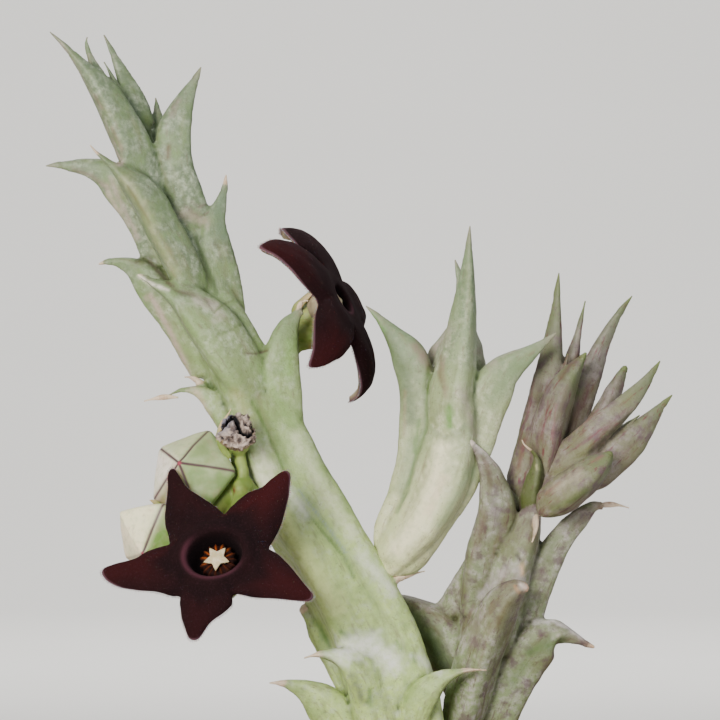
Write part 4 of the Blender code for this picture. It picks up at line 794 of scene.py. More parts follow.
# For each point: which tooth it lies on (-1 for the core), how far along it, and its place in that
# tooth's own frame. The nearest sample counts, distances divided by the tooth's thickness.
def placeOnTeeth(points, spec, spine):
    samples, radii, shares, owners, frames, lengths = [], [], [], [], [], []
    for index, each in enumerate(spec["teeth"] + [None]):
        if each is None:
            path = smoothPath(spec["spine"], 120)
            radius = evenly(spec["radii"], 120)
            along, out, side = pathFrame(path, np.array([0.0, -1.0, 0.0]))
        else:
            path, radius = toothPath(each, 30)
            along, out, side = toothFrame(each, spine, path)
        samples.append(path)
        radii.append(radius)
        shares.append(np.linspace(0, 1, len(path)))
        owners.append(np.full(len(path), -1 if each is None else index))
        frames.append(np.stack([along, out, side], axis=1))
        lengths.append(np.linalg.norm(np.diff(path, axis=0), axis=1).sum())
    samples, radii = np.concatenate(samples), np.concatenate(radii)
    shares, owners, frames = np.concatenate(shares), np.concatenate(owners), np.concatenate(frames)
    nearest = np.empty(len(points), int)
    for start in range(0, len(points), 20000):
        part = points[start:start + 20000]
        gap = (part ** 2).sum(1)[:, None] - 2 * part @ samples.T + (samples ** 2).sum(1)
        nearest[start:start + 20000] = (np.sqrt(np.maximum(gap, 0)) / (radii + 0.15)).argmin(axis=1)
    local = np.einsum("nij,nj->ni", frames[nearest], points - samples[nearest])
    owner = owners[nearest]
    length = np.array(lengths)[owner]
    local[:, 0] += shares[nearest] * length
    return owner, np.clip(local[:, 0] / length, 0, 1), local


# How strongly a brush stroke covers each point seen from the front: a soft band round a line of picture
# positions, its edge made uneven.
def strokeCover(places, wobble, width, line):
    line = np.array(line, float)
    first, step = line[:-1], np.diff(line, axis=0)
    share = np.einsum("nkj,kj->nk", places[:, None] - first, step) / np.maximum((step ** 2).sum(axis=1), 1e-6)
    nearest = first + np.clip(share, 0, 1)[..., None] * step
    gap = np.linalg.norm(places[:, None] - nearest, axis=2).min(axis=1)
    return np.exp(-(np.maximum(gap * (1 + 0.45 * wobble), 0) / width) ** 2)


# Paints the strokes one over another and presses lines in: gives colour, cover and depth at each point.
def painted(points, normals, strokes):
    places = toPhoto(points)
    toViewer = smoothStep(0.05, 0.45, -normals[:, 1])
    wobble = softNoise(points, 0.9, 71)
    colour, cover, depth = np.zeros((len(points), 3)), np.zeros(len(points)), np.zeros(len(points))
    for tone, strength, width, press, *line in strokes:
        low, high = np.min(line, axis=0) - 3 * width, np.max(line, axis=0) + 3 * width
        near = ((places > low) & (places < high)).all(axis=1)
        amount = strength * strokeCover(places[near], wobble[near], width, line) * toViewer[near]
        total = amount + cover[near] * (1 - amount)
        blend = (amount / np.maximum(total, 1e-6))[:, None]
        colour[near] += blend * (np.array(hexColour(tone)[:3]) - colour[near])
        cover[near] = total
        depth[near] = np.maximum(depth[near], press * amount)
    return colour, cover, depth


# One stem: core and teeth fused under one skin, relaxed, and the fine tips added after it. Lumps raise it
# along its normals, strokes press lines into it, and its creases, keels, tips and paint are stored on its
# points.
def makeStem(spec, material):
    make = stemMake
    spine = smoothPath(spec["spine"], make["steps"])
    grids, tips = [coreGrid(spec)], []
    for each in spec["teeth"]:
        path, radius = toothPath(each, make["steps"])
        thick = radius > make["sunkRadius"]
        last = len(thick) - thick[::-1].argmax() if thick.any() else 0
        if last > 3:
            grids.append(toothGrid(each, spine, path[:last], radius[:last]))
        thin = np.nonzero(radius > make["tipRadius"])[0]
        start = (thin[-1] if len(thin) else 0) / (make["steps"] - 1)
        if start < 0.99:
            path, radius = toothPath(each, make["tipRows"], start)
            root, gain, ease = make["tipEase"]
            radius = radius * (root + gain * smoothStep(0, ease, np.linspace(0, 1, make["tipRows"])))
            tips.append(toothGrid(each, spine, path, radius, make["tipColumns"]))
    joined = fusedMesh(grids, spec.get("voxel", make["voxel"]))
    skin = relaxed(readPoints(joined), readEdges(joined), make["smoothing"])
    parts, faces, count = [skin], [readRows(joined.polygons, "vertices", 4, np.int32)], len(skin)
    for tip in tips:
        parts.append(tip.reshape(-1, 3))
        faces.append(gridFaces(*tip.shape[:2], True, count))
        count += len(parts[-1])
    mesh = newMesh(spec["name"], np.concatenate(parts), np.concatenate(faces).tolist())
    closeMesh(mesh)
    points, edges, normals = readPoints(mesh), readEdges(mesh), readNormals(mesh)
    body = np.arange(len(points)) < len(skin)
    owner, along, local = placeOnTeeth(points, spec, spine)
    onTooth = owner >= 0
    lumps = sum(height * softNoise(points, length, 3 + index)
                for index, (length, height) in enumerate(make["lumps"]))
    colour, cover, depth = painted(points, normals, spec["strokes"])
    slim = 1 - smoothStep(0.5, 0.95, along) * onTooth
    writePoints(mesh, points + normals * (lumps * slim - depth * body)[:, None])
    points, normals = readPoints(mesh), readNormals(mesh)
    bend = relaxed(bendOf(points, normals, edges), edges, 5) * body
    shifts = np.random.default_rng(5).uniform(-40, 40, (len(spec["teeth"]) + 1, 3))
    dry, warm, olive = (np.array([each[key] for each in spec["teeth"]] + [0.0])[owner]
                        for key in ("dry", "warm", "olive"))
    ragged = along + 0.03 * softNoise(points, 0.8, 9)
    for key, values in (
        # the skin's folds, stored for the painted shade laid in them
        ("crease", np.clip(bend * 1.3 - 0.05, 0, 1)),
        ("keel", np.clip(-bend * 0.8 - 0.35, 0, 1) * slim),
        ("tip", smoothStep(0.78, 1.0, along) * onTooth),
        ("dry", smoothStep(1 - dry - 0.03, 1 - dry + 0.03, ragged) * (dry > 0) * onTooth),
        ("warm", warm * smoothStep(0.86, 0.97, ragged) * onTooth),
        ("olive", olive * onTooth),
        ("tooth", smoothStep(0.3, 0.85, along) * onTooth),
        ("cover", cover),
        ("paint", colour),
        ("flow", local * np.array([0.2, 1.0, 1.0]) + shifts[owner]),
    ):
        writeField(mesh, key, values)
    addPiece(spec["name"], mesh, material, spec["nodes"])
    print(spec["name"], len(mesh.polygons), "faces")


# Living succulent skin: waxy and matt. A ground colour that changes up the stem, partly its own and partly
# painted light that keeps the foot paler; blotches and a whitish bloom over it, streaks and short dashes that
# run along the growth, painted marks, specks, painted shade in the folds, paler keels and corky dry tips.
def plantSkin(name, look):
    # noises and the range of each that shows; those along the flow are scaled in millimetres and five times
    # as long as wide
    marks = [("blotch", "place", 330.0, 4.0, 0.46, 0.64), ("bloom", "place", 1500.0, 4.0, 0.42, 0.66),
             ("mottle", "place", 620.0, 7.0, 0.52, 0.64), ("speck", "place", 3400.0, 1.0, 0.64, 0.71),
             ("streak", "flow", 0.9, 4.0, 0.52, 0.68), ("thin", "flow", 2.6, 3.0, 0.58, 0.70)]
    return layeredMaterial(name, dict(
        masks=("crease", "keel", "tip", "dry", "warm", "olive", "tooth", "cover"), vectors=("paint", "flow"),
        noises=[row[:4] for row in marks] + [("swell", "place", 900.0, 2.0), ("pores", "place", 5200.0, 2.0)],
        fray=0.6,
        ranges=[(key + "Part", key, low, high, 0.0, look[key + "Share"]) for key, *_, low, high in marks] + [
            # rise: ground colour from foot to crown, partly the stem's own and partly painted light and shade
            ("rise", "height", look["low"] * mm, look["high"] * mm, 0.0, 1.0),
            ("gaps", "blotch", 0.62, 0.40, 0.0, 1.0),
            ("stain", "bloom", 0.50, 0.64, 0.0, 0.45),
            ("brush", "bloom", 0.34, 0.5528, 0.62, 1.0)],
        products=[
            (key + "Part", key, look[key + "Share"], 0.0) for key in ("tooth", "keel", "crease", "tip")] + [
            ("veil", "bloomPart", "gaps", 0.0), ("dryStain", "dry", "stain", 0.0),
            ("strokes", "cover", "brush", 0.0), ("relief", "swell", 1.6, "pores")],
        tones=[look["foot"], ("rise", look["crown"]), ("blotchPart", look["blotch"]), ("veil", look["bloom"]),
               ("toothPart", look["toothTone"]), ("streakPart", look["streak"]), ("thinPart", look["thin"]),
               ("keelPart", look["keel"]), ("mottlePart", look["mottle"]), ("olive", look["oliveTone"]),
               # creasePart: painted shade in the folds
               ("creasePart", look["crease"]), ("speckPart", look["speck"]), ("tipPart", look["tip"]),
               ("dry", look["dry"]), ("warm", look["warm"]), ("dryStain", look["dryShade"]),
               ("strokes", "paint")],
        relief=("relief", 0.4, 0.00012),
        shader={"Roughness": look["roughness"], "Specular IOR Level": 0.45, "Subsurface Weight": 0.08,
                "Subsurface Radius": (0.6, 0.9, 0.3), "Subsurface Scale": 0.0006},
    ))


leftSkin = dict(
    # foot and crown: partly the skin's own colours and partly painted light and shade, the foot paler, the
    # crown darker
    low=88.0, high=128.0, foot="#c0d884", crown="#6c7c60", blotch="#7f9a5c", blotchShare=0.55,
    bloom="#c3cdb4", bloomShare=0.62, mottle="#5d7144", mottleShare=0.28, toothTone="#6d7e5e", toothShare=0.5,
    streak="#7c8356", streakShare=0.45, thin="#6f5f4c", thinShare=0.4, keel="#c4b2a4", keelShare=0.8,
    # crease: the tone of the painted shade in the folds
    oliveTone="#7f8446", speck="#5d5c40", speckShare=0.35, crease="#44582f", creaseShare=0.9,
    tip="#98897c", tipShare=0.5, dry="#d9c4aa", dryShade="#a5764e", warm="#d8b592", roughness=0.5,
)
middleSkin = dict(
    leftSkin, low=94.0, high=118.0, mottleShare=0.15, foot="#e2e3b0", crown="#7e906e", blotch="#a9b984",
    blotchShare=0.45, bloom="#e0e2c4", toothTone="#748864", toothShare=0.75, thin="#7d6552", keel="#b5a495",
    keelShare=0.6, tip="#9c8a7e",
)
rightSkin = dict(
    leftSkin, low=78.0, high=112.0, mottle="#654e57", mottleShare=0.7, foot="#8f9f72", crown="#858a72",
    blotch="#6a6b48", blotchShare=0.65, bloom="#bdb6b2", bloomShare=0.9, toothTone="#8a8378",
    streak="#6b4f40", streakShare=0.55, thin="#5c3a40", thinShare=0.65, keel="#c2b2ae", crease="#414425",
    tip="#a08468", speck="#4a3536", speckShare=0.35, oliveTone="#515c28", roughness=0.55,
)
shootSkin = dict(
    rightSkin, low=100.0, high=122.0, bloom="#a3989a", bloomShare=0.62, toothTone="#66744a", toothShare=0.8,
    foot="#7f7e5c", crown="#7b7073", streak="#643a46", streakShare=0.75, thin="#6b2a38", thinShare=0.9,
    tip="#6b7842", tipShare=0.85, crease="#3a3226",
)

for spec, name, look in (
    (leftStem, "greyGreenStemSkin", leftSkin),
    (middleStem, "creamGreenStemSkin", middleSkin),
    (rightStem, "mottledMauveStemSkin", rightSkin),
    (upperShoot, "mauveShootSkin", shootSkin),
    (sideShoot, "mauveSideShootSkin", shootSkin),
):
    makeStem(spec, plantSkin(name, look))
print("stems ready")


# Right, up and outward directions of something that looks along its normal
def facing(normal):
    outward = unit(normal)
    first = np.array([1.0, 0.0, 0.0]) if abs(outward[0]) <= 0.7 else np.array([0.0, 1.0, 0.0])
    right = unit(first - (first @ outward) * outward)
    return np.stack([right, np.cross(outward, right), outward])


# Points in right, up and outward lengths from a centre, set in the frame
def placed(local, centre, normal):
    return np.asarray(centre) + local @ facing(normal)


# A piece from one grid in its own lengths: set in the frame, its masks stored, its seam and poles closed
def gridPiece(name, local, seat, masks, material, nodes):
    mesh = meshOf(name, [placed(local, *seat)], merge=False)
    for key, values in masks.items():
        writeField(mesh, key, values)
    closeMesh(mesh)
    addPiece(name, mesh, material, nodes)


# A round tube along a smooth path. Its section may be flattened, and half balls close its ends.
def tubeGrid(points, radii, rows=40, columns=16, flat=1.0, outward=(0.0, -1.0, 0.3)):
    path = smoothPath(points, rows)
    radius = evenly(radii, rows)
    along, out, side = pathFrame(path, np.asarray(outward, float))
    turn = np.linspace(0, np.pi / 2, 5)[:-1]
    startCap = path[0] - (radius[0] * np.cos(turn))[:, None] * along[0]
    endCap = path[-1] + (radius[-1] * np.cos(turn[::-1]))[:, None] * along[-1]
    path = np.concatenate([startCap, path, endCap])
    radius = np.concatenate([radius[0] * np.sin(turn), radius, radius[-1] * np.sin(turn[::-1])])
    out = np.concatenate([np.repeat(out[:1], 4, 0), out, np.repeat(out[-1:], 4, 0)])
    side = np.concatenate([np.repeat(side[:1], 4, 0), side, np.repeat(side[-1:], 4, 0)])
    angle = np.linspace(0, 2 * np.pi, columns, endpoint=False)
    return (path[:, None] + (flat * radius[:, None] * np.cos(angle))[..., None] * out[:, None]
            + (radius[:, None] * np.sin(angle))[..., None] * side[:, None])


# Flowers: a deep cup, a low ring round its mouth and five lobes, one closed sheet with rounded edges
frontFlower = dict(
    name="front", centre=(-22.15, -13.5, 97.15), normal=(-0.18, -0.86, 0.46),
    # azimuth from the right, length, backward bend at the tip and crimson of each lobe (partly painted light)
    lobes=[(-27.7, 11.0, 6.0, 0.7), (51.4, 11.4, 6.0, 1.0), (114.1, 11.3, 6.0, 0.25),
           (183.5, 11.5, 6.0, 0.7), (256.8, 9.2, 8.0, 0.35)],
    # picture positions round the lobes, from the notch at the left
    outline=[
        (168, 542), (163, 526), (161.5, 512), (163.5, 498), (165, 482), (165.6, 469), (169.7, 463.6),
        (176, 467), (182, 478), (191, 488), (207, 498), (216, 504), (224, 511), (231, 503),
        (245, 490.5), (263, 483),
        (273, 473), (279.5, 467.6), (285.5, 466.5), (289.6, 471), (289.5, 481), (287.5, 497), (279.5, 524),
        (269, 544), (276, 549), (289, 562), (300, 575), (308.5, 586), (312.5, 592), (311, 597), (304, 599),
        (290, 598.5), (272, 597), (252, 596), (234, 593), (232, 601), (224, 610), (211, 620), (202.5, 631),
        (197.5, 636.5), (191, 638), (185.5, 634.5), (182.5, 626), (178, 612), (177, 602), (178, 595),
        (168, 593), (152, 589.5), (135, 588), (118, 585), (106, 579), (100.5, 573), (99.3, 567.5),
        (102, 564), (109, 562),
        (120, 559.5), (133, 555.5), (145, 549), (156, 545),
    ],
    bendPower=1.2, arch=0.055, rim=0.30, mouth=1.03, stretch=0.08, humps=(0, 0, 0, 0, 0),
    starLift=0.0, wall=0.0, hairs=(5200, 500), seed=21, rounding=3,
)
sideFlower = dict(
    name="side", centre=(-9.7, 2.5, 122.2), normal=(0.85, -0.26, 0.46),
    lobes=[(-8.0, 7.3, 12.0, 0.3), (54.0, 13.0, 82.0, 0.3), (130.0, 12.5, 66.0, 0.8),
           (209.0, 12.5, 106.0, 0.8), (275.0, 13.0, 112.0, 0.4)],
    # how far each lobe swells on its two sides
    bulges=[(0.36, 0.36), (0.30, 0.50), (0.36, 0.17), (0.28, 0.10), (0.30, 0.42)], wall=0.35,
    bendPower=1.58, arch=0.10, rim=0.10, mouth=0.62, stretch=0.0, humps=(0, 0, 0.25, 0.25, 0.1),
    starLift=0.42, hairs=(4200, 400), seed=22, rounding=40,
)
flowerMake = dict(
    cup=[(0.0, -2.8), (1.7, -2.7), (2.25, -1.7), (2.42, -0.4), (2.58, 0.3), (2.85, 0.95), (3.3, 1.0),
         (3.9, 0.0)],
    notch=4.72, thickness=0.5, crease=0.06, roll=0.22, longWay=6.0,
    columns=330, cupRows=28, limbRows=40,
    edgeHair=(0.10, 0.32), faceHair=(0.04, 0.08), edgeWidth=0.013, faceWidth=0.007,
)


# For each angle: its lobe, how far round it is from that lobe's middle, and the angle from there to the
# notch
def lobeAt(angle, flower):
    azimuths = np.radians([lobe[0] for lobe in flower["lobes"]])
    turned = (angle[:, None] - azimuths + np.pi) % (2 * np.pi) - np.pi
    nearest = np.abs(turned).argmin(axis=1)
    offset = turned[np.arange(len(angle)), nearest]
    after = (np.roll(azimuths, -1) - azimuths) % (2 * np.pi) / 2
    before = (azimuths - np.roll(azimuths, 1)) % (2 * np.pi) / 2
    return nearest, offset, np.where(offset > 0, after[nearest], before[nearest])


# Outline of the lobes as distances from the middle, one for each of `turn`: through the picture positions
# where there are any, and otherwise straight from each tip to the notches with a bulge; then it is worn.
def lobeOutline(flower, turn):
    if "outline" in flower:
        eye, centre = np.array(view["place"]), np.array(flower["centre"])
        axes = facing(flower["normal"])
        ways = np.array([fromPhoto(px, py, 0.0) for px, py in flower["outline"]]) - eye
        local = (eye + ways * ((centre - eye) @ axes[2] / (ways @ axes[2]))[:, None] - centre) @ axes.T
        local = smoothPath(np.concatenate([local, local[:3]]), 3000)
        radius = np.interp(turn, np.arctan2(local[:, 1], local[:, 0]), np.hypot(local[:, 0], local[:, 1]),
                           period=2 * np.pi)
    else:
        nearest, offset, half = lobeAt(turn, flower)
        length, notch = np.array([lobe[1] for lobe in flower["lobes"]])[nearest], flowerMake["notch"]
        wedge = np.abs(offset)
        radius = notch * length * np.sin(half) / (notch * np.sin(half - wedge) + length * np.sin(wedge))
        bulge = np.array(flower["bulges"])[nearest, (offset > 0).astype(int)]
        radius *= 1 + bulge * np.sin(np.pi * wedge / half)
    return worn(radius, flower["rounding"])


# Middle sheet of a flower as (rows, columns, 3), in its own right, up and outward lengths; with each
# row's spread, each point's distance from its lobe's middle line and each column's lobe. Columns stand
# closer where the outline is longer, so that the tips are smooth.
def corollaSheet(flower):
    cup = smoothPath(flowerMake["cup"], flowerMake["cupRows"])
    cup[:, 1] = np.where(cup[:, 1] > 0, cup[:, 1] * flower["rim"], cup[:, 1])
    turn = np.linspace(0, 2 * np.pi, 720, endpoint=False)
    radius = lobeOutline(flower, turn)
    loop = radius * np.exp(1j * turn)
    gone = np.concatenate([[0], np.cumsum(np.abs(np.roll(loop, -1) - loop))])
    share = 0.6 * gone / gone[-1] + 0.4 * np.linspace(0, 1, 721)
    angle = np.linspace(0, 1, flowerMake["columns"], endpoint=False)
    angle = np.interp(angle, share, np.linspace(0, 2 * np.pi, 721))
    edge = np.interp(angle, turn, radius, period=2 * np.pi)
    lobe, offset, _ = lobeAt(angle, flower)
    spread = np.linspace(0, 1, flowerMake["limbRows"] + 1)[1:] ** 0.85
    steps = np.linspace(0, 1, 200)
    reach = np.empty((len(spread), len(angle)))
    height = np.empty_like(reach)
    for index, (_, length, bend, _) in enumerate(flower["lobes"]):
        bent = np.radians(bend) * steps ** flower["bendPower"]
        span = length - cup[-1, 0]
        out = np.concatenate([[0], np.cumsum(np.cos(bent[:-1]))]) * span / (len(steps) - 1)
        down = np.concatenate([[0], np.cumsum(np.sin(bent[:-1]))]) * span / (len(steps) - 1)
        mine = lobe == index
        gone = spread[:, None] * (edge[mine] - cup[-1, 0]) / span
        reach[:, mine] = cup[-1, 0] + np.interp(gone, steps, out)
        height[:, mine] = cup[-1, 1] - np.interp(gone, steps, down)
    across = reach * np.sin(offset)
    height -= flower["arch"] * spread[:, None] * across ** 2 + flowerMake["roll"] * spread[:, None] ** 5
    height -= flowerMake["crease"] * np.exp(-(across / 0.5) ** 2) * np.sin(np.pi * spread[:, None] ** 0.8)
    reach = np.concatenate([np.repeat(cup[:, :1], len(angle), axis=1), reach])
    height = np.concatenate([np.repeat(cup[:, 1:], len(angle), axis=1), height])
    across = np.concatenate([np.full((len(cup), len(angle)), 9.0), across])
    way = flower["stretch"] * np.cos(2 * (angle - math.radians(flowerMake["longWay"])))
    reach *= 1 + (flower["mouth"] - 1 + way) * smoothStep(5.0, 2.8, reach)
    for (azimuth, *_), hump in zip(flower["lobes"], flower["humps"]):
        aside = (angle - math.radians(azimuth) + np.pi) % (2 * np.pi) - np.pi
        swell = hump * np.exp(-(aside / 0.6) ** 2) * np.exp(-((reach - 3.3) / 0.9) ** 2)
        height = height + swell * smoothStep(-1.5, 0.0, height)
    cupReach = np.concatenate([cup[:, 0], np.full(len(spread), 9.0)])
    spread = np.concatenate([np.zeros(len(cup)), spread])
    return roundAxis(reach, angle, height), spread, across, lobe, cupReach


# Normals of a sheet, from its steps round and outwards
def sheetNormals(local):
    around = np.roll(local, -1, axis=1) - np.roll(local, 1, axis=1)
    normals = unit(np.cross(np.gradient(local, axis=0), around))
    normals[0] = (0.0, 0.0, 1.0)
    return normals


# Rows of a front followed by those of its back, which starts where the front ends
def thereAndBack(front, back=None):
    return np.concatenate([front, (front if back is None else back)[::-1][1:]])


# A corolla: the sheet is waved by soft noise and given a front and a back, `thickness` apart and rounded
# towards the edge; its masks are stored, and its hairs stand on it.
def makeCorolla(flower, material, hairMaterial):
    make, seat = flowerMake, (flower["centre"], flower["normal"])
    local, spread, across, lobe, cupReach = corollaSheet(flower)
    normals = sheetNormals(local)
    flat = local.reshape(-1, 3)
    waves = 0.09 * softNoise(flat, 2.6, flower["seed"]) + 0.03 * softNoise(flat, 0.9, flower["seed"] + 5)
    local = local + waves.reshape(local.shape[:2])[..., None] * normals * spread[:, None, None]
    half = 0.5 * make["thickness"] * np.sqrt(np.clip(1 - spread ** 10, 0.0, 1))[:, None, None]
    front = local + normals * (half - 0.5 * make["thickness"])
    wall = flower["wall"] * smoothStep(0.3, -0.8, local[..., 2:])
    back = local - normals * (half + 0.5 * make["thickness"] + wall)
    closed = thereAndBack(front, back)
    wide = np.ones((1, closed.shape[1]))
    radius = np.hypot(closed[..., 0], closed[..., 1])
    lip = thereAndBack(cupReach)[:, None] * wide
    inside = thereAndBack(np.ones(len(front)), np.zeros(len(back)))[:, None] * wide
    # the rim's tint is a painted highlight, strongest on the lower side where its inner face turns up to the
    # light
    lower = smoothStep(0.8, -0.8, (closed[..., 0] + 1.6 * closed[..., 1]) / np.maximum(radius, 0.1))
    # crimson down each lobe's middle: partly its own colour, partly painted light on the lobes that face the
    # light
    lobeCrimsonAndLight = np.array([each[3] for each in flower["lobes"]])[lobe]
    middle = lobeCrimsonAndLight * np.exp(-(across / 1.9) ** 2) * smoothStep(0.1, 0.5, spread)[:, None]
    rim = np.exp(-((lip - 2.75) / 0.25) ** 2) * (closed[..., 2] > -0.6) * (0.04 + 0.8 * lower)
    gridPiece(flower["name"] + "_petals", closed, seat, dict(
        inside=inside,
        rim=inside * rim,
        # depth: painted shade that takes the cup to black towards its bottom
        depth=inside * smoothStep(0.3, -1.0, closed[..., 2]) * (lip < 2.75),
        crimsonAndLight=thereAndBack(middle) * inside,
        edge=smoothStep(0.955, 1.0, thereAndBack(spread)[:, None] * wide),
    ), material, [flower["name"] + "_corolla"])

    # a fringe of fine hairs along the edge and shorter ones over the lobes, each a thin three-sided spike
    draw = np.random.default_rng(flower["seed"])
    count = sum(flower["hairs"])
    onEdge = np.arange(count) < flower["hairs"][0]
    row = np.where(onEdge, len(local) - 1, draw.integers(make["cupRows"] + 4, len(local) - 2, count))
    column = draw.integers(0, closed.shape[1], count)
    edgeWay = unit(local[-1, column] - local[-6, column])
    lean = unit(draw.normal(size=(count, 3)))
    way = np.where(onEdge[:, None], edgeWay + 0.5 * lean + 0.25 * normals[row, column],
                   normals[row, column] + 0.5 * lean)
    length = np.where(onEdge, draw.uniform(*make["edgeHair"], count), draw.uniform(*make["faceHair"], count))
    width = np.where(onEdge, make["edgeWidth"], make["faceWidth"])[:, None, None]
    spikes(flower["name"] + "_hairs", placed(front[row, column], *seat), unit(way) @ facing(flower["normal"]),
           length, width, hairMaterial)
    print(flower["name"], "corolla ready")


# Thin closed spikes: a triangle at the root, a narrower one half way and a point.
def spikes(name, roots, ways, lengths, width, material):
    sideways = unit(np.cross(ways, (0.31, 0.17, 0.93)))
    other = np.cross(ways, sideways)
    angle = np.array([0, 2 * np.pi / 3, 4 * np.pi / 3])
    ring = np.cos(angle)[None, :, None] * sideways[:, None] + np.sin(angle)[None, :, None] * other[:, None]
    low = roots[:, None] + width * ring
    middle = roots[:, None] + (0.5 * lengths)[:, None, None] * ways[:, None] + 0.7 * width * ring
    tip = roots + lengths[:, None] * ways + 0.12 * lengths[:, None] * sideways
    points = np.concatenate([low, middle, tip[:, None]], axis=1)
    pattern = np.array([[0, 1, 4, 3], [1, 2, 5, 4], [2, 0, 3, 5]])
    tops = np.array([[3, 4, 6], [4, 5, 6], [5, 3, 6], [0, 2, 1]])
    first = 7 * np.arange(len(roots))[:, None, None]
    faces = (pattern + first).reshape(-1, 4).tolist() + (tops + first).reshape(-1, 3).tolist()
    mesh = newMesh(name, points, faces)
    mesh.shade_smooth()
    addPiece(name, mesh, material, [])


# Petal velvet: nearly black maroon, crimson along the middle of the lobes, partly its own and partly painted
# light, with a violet nap that catches grazing light; painted shade takes the cup to black inside, a painted
# highlight makes its mouth paler below, and the back is cream flushed with maroon.
petalVelvet = layeredMaterial("petalVelvet", dict(
    masks=("inside", "rim", "depth", "edge", "crimsonAndLight"),
    noises=[("clouds", "place", 420.0, 3.0), ("grains", "place", 6200.0, 3.0),
            ("pile", "place", 7500.0, 2.0)],
    ranges=[("cloud", "clouds", 0.35, 0.65, 0.0, 1.0), ("grain", "grains", 0.52, 0.72, 0.0, 0.30)],
    products=[("fringe", "edge", 0.75, 0.0), ("cloudFlush", "cloud", 0.6, 0.0),
              ("edgeFlush", "edge", 0.6, 0.0)],
    # the face: painted light along the lobes' crimson middles and on the rim below, painted shade deep in the
    # cup
    under={"face": ["#120406", ("cloud", "#1a0709"), ("crimsonAndLight", "#320b0d"), ("grain", "#3b212b"),
                    ("fringe", "#7c5c68"), ("rim", "#4a2631"), ("depth", "#0b0406")]},
    tones=["#c4b898", ("cloudFlush", "#4a2220"), ("edgeFlush", "#4a2220"), ("inside", "face")],
    relief=("pile", 0.6, 0.0001),
    shader={"Roughness": 0.9, "Specular IOR Level": 0.15, "Sheen Weight": 0.06, "Sheen Roughness": 0.45,
            "Sheen Tint": hexColour("#a06a76")},
))

# Petal hair: fine and translucent, greyish violet, it catches the light along the edge.
petalHair = layeredMaterial("petalHair", dict(
    noises=[("cloud", "place", 900.0, 1.0)],
    tones=["#7d6570", ("cloud", "#c0aeb6")],
    shader={"Roughness": 0.6, "Subsurface Weight": 0.8, "Subsurface Scale": 0.0001},
))

coronaMake = dict(
    ringBottom=-2.4, ringTop=-1.45, ringHole=0.5, ringRadius=1.8, ringArm=0.12, rays=15, rayHeight=0.09,
    columnRadius=0.45, starBottom=-1.12, starTop=-0.9, starTip=1.36, starNotch=0.74, starTurn=6.0,
)


# Corona ring: a soft rectangle turned round the axis, with radiating ridges that stand out at its edge
# and on its top; each point stores how strongly it belongs to a ridge, painted lit towards the upper left.
def makeCoronaRing(flower, material):
    make = coronaMake
    turn = np.linspace(0, 2 * np.pi, 33)[:, None]
    middle, half = 0.5 * (make["ringTop"] + make["ringBottom"]), 0.5 * (make["ringTop"] - make["ringBottom"])
    lift = middle + half * np.sign(np.sin(turn)) * np.abs(np.sin(turn)) ** 0.6
    push = 0.5 + 0.5 * np.sign(np.cos(turn)) * np.abs(np.cos(turn)) ** 0.6
    angle = np.linspace(0, 2 * np.pi, 240, endpoint=False)
    ridge = (0.5 + 0.5 * np.cos(make["rays"] * angle + 0.8 * np.sin(3 * angle))) ** 3
    outer = make["ringRadius"] + make["ringArm"] * (2 * ridge - 1)
    reach = make["ringHole"] + (outer - make["ringHole"]) * push
    local = roundAxis(reach, angle, lift + make["rayHeight"] * ridge * (lift > middle) * np.sin(np.pi * push))
    raysLitUpperLeft = 0.15 + 0.85 * smoothStep(-0.5, 0.6, np.cos(angle - 2.0))  # painted light, strongest at the upper left
    gridPiece(flower["name"] + "_corona_ring", local, (flower["centre"], flower["normal"]), dict(
        ridge=ridge * raysLitUpperLeft * smoothStep(1.95, 1.1, reach) * (lift > middle),
    ), material, [flower["name"] + "_corona"])


# Star: a five-pointed outline that rounds over at its rim, with a groove along each arm, on a round column.
def coronaStarGrid(flower):
    make = coronaMake
    angle = np.linspace(0, 2 * np.pi, 100, endpoint=False)
    first = math.radians(flower["lobes"][0][0] + make["starTurn"])
    share = np.abs((angle - first) * 5 / np.pi % 2 - 1)
    star = make["starNotch"] + (make["starTip"] - make["starNotch"]) * share ** 1.8
    turn = np.linspace(-np.pi / 2, np.pi / 2, 13)
    top, bottom = make["starTop"] + flower["starLift"], make["starBottom"] + flower["starLift"]
    middle, half = 0.5 * (top + bottom), 0.5 * (top - bottom)
    columnHeights = np.linspace(make["ringBottom"], bottom - 0.02, 6)
    reach = [np.zeros(100)] + [np.full(100, make["columnRadius"])] * 6
    height = [np.full(100, columnHeights[0])] + [np.full(100, level) for level in columnHeights]
    for angleUp in turn:
        reach.append(star - half * (1 - math.cos(angleUp)))
        height.append(np.full(100, middle + half * math.sin(angleUp)))
    for inward in (0.85, 0.7, 0.55, 0.4, 0.25, 0.1, 0.0):
        reach.append((star - half) * inward)
        groove = 0.05 * np.exp(-((1 - share) / 0.25) ** 2) * np.sin(np.pi * inward)
        height.append(top + 0.14 * (1 - inward ** 2) - groove)
    reach, height = np.array(reach), np.array(height)
    return placed(roundAxis(reach, angle, height), flower["centre"], flower["normal"])


# Corona flesh: moist and slightly glossy, one tone breaking into another in fine patches and along its
# ridges.
def coronaFlesh(name, tones, roughness):
    return layeredMaterial(name, dict(
        masks=("ridge",),
        noises=[("clouds", "place", 2400.0, 2.0)],
        ranges=[("cloud", "clouds", 0.38, 0.62, 0.0, 1.0)],
        tones=[tones[0], ("cloud", tones[1]), ("ridge", tones[2])],
        shader={"Roughness": roughness, "Specular IOR Level": 0.15, "Subsurface Weight": 0.1,
                "Subsurface Scale": 0.0003},
    ))


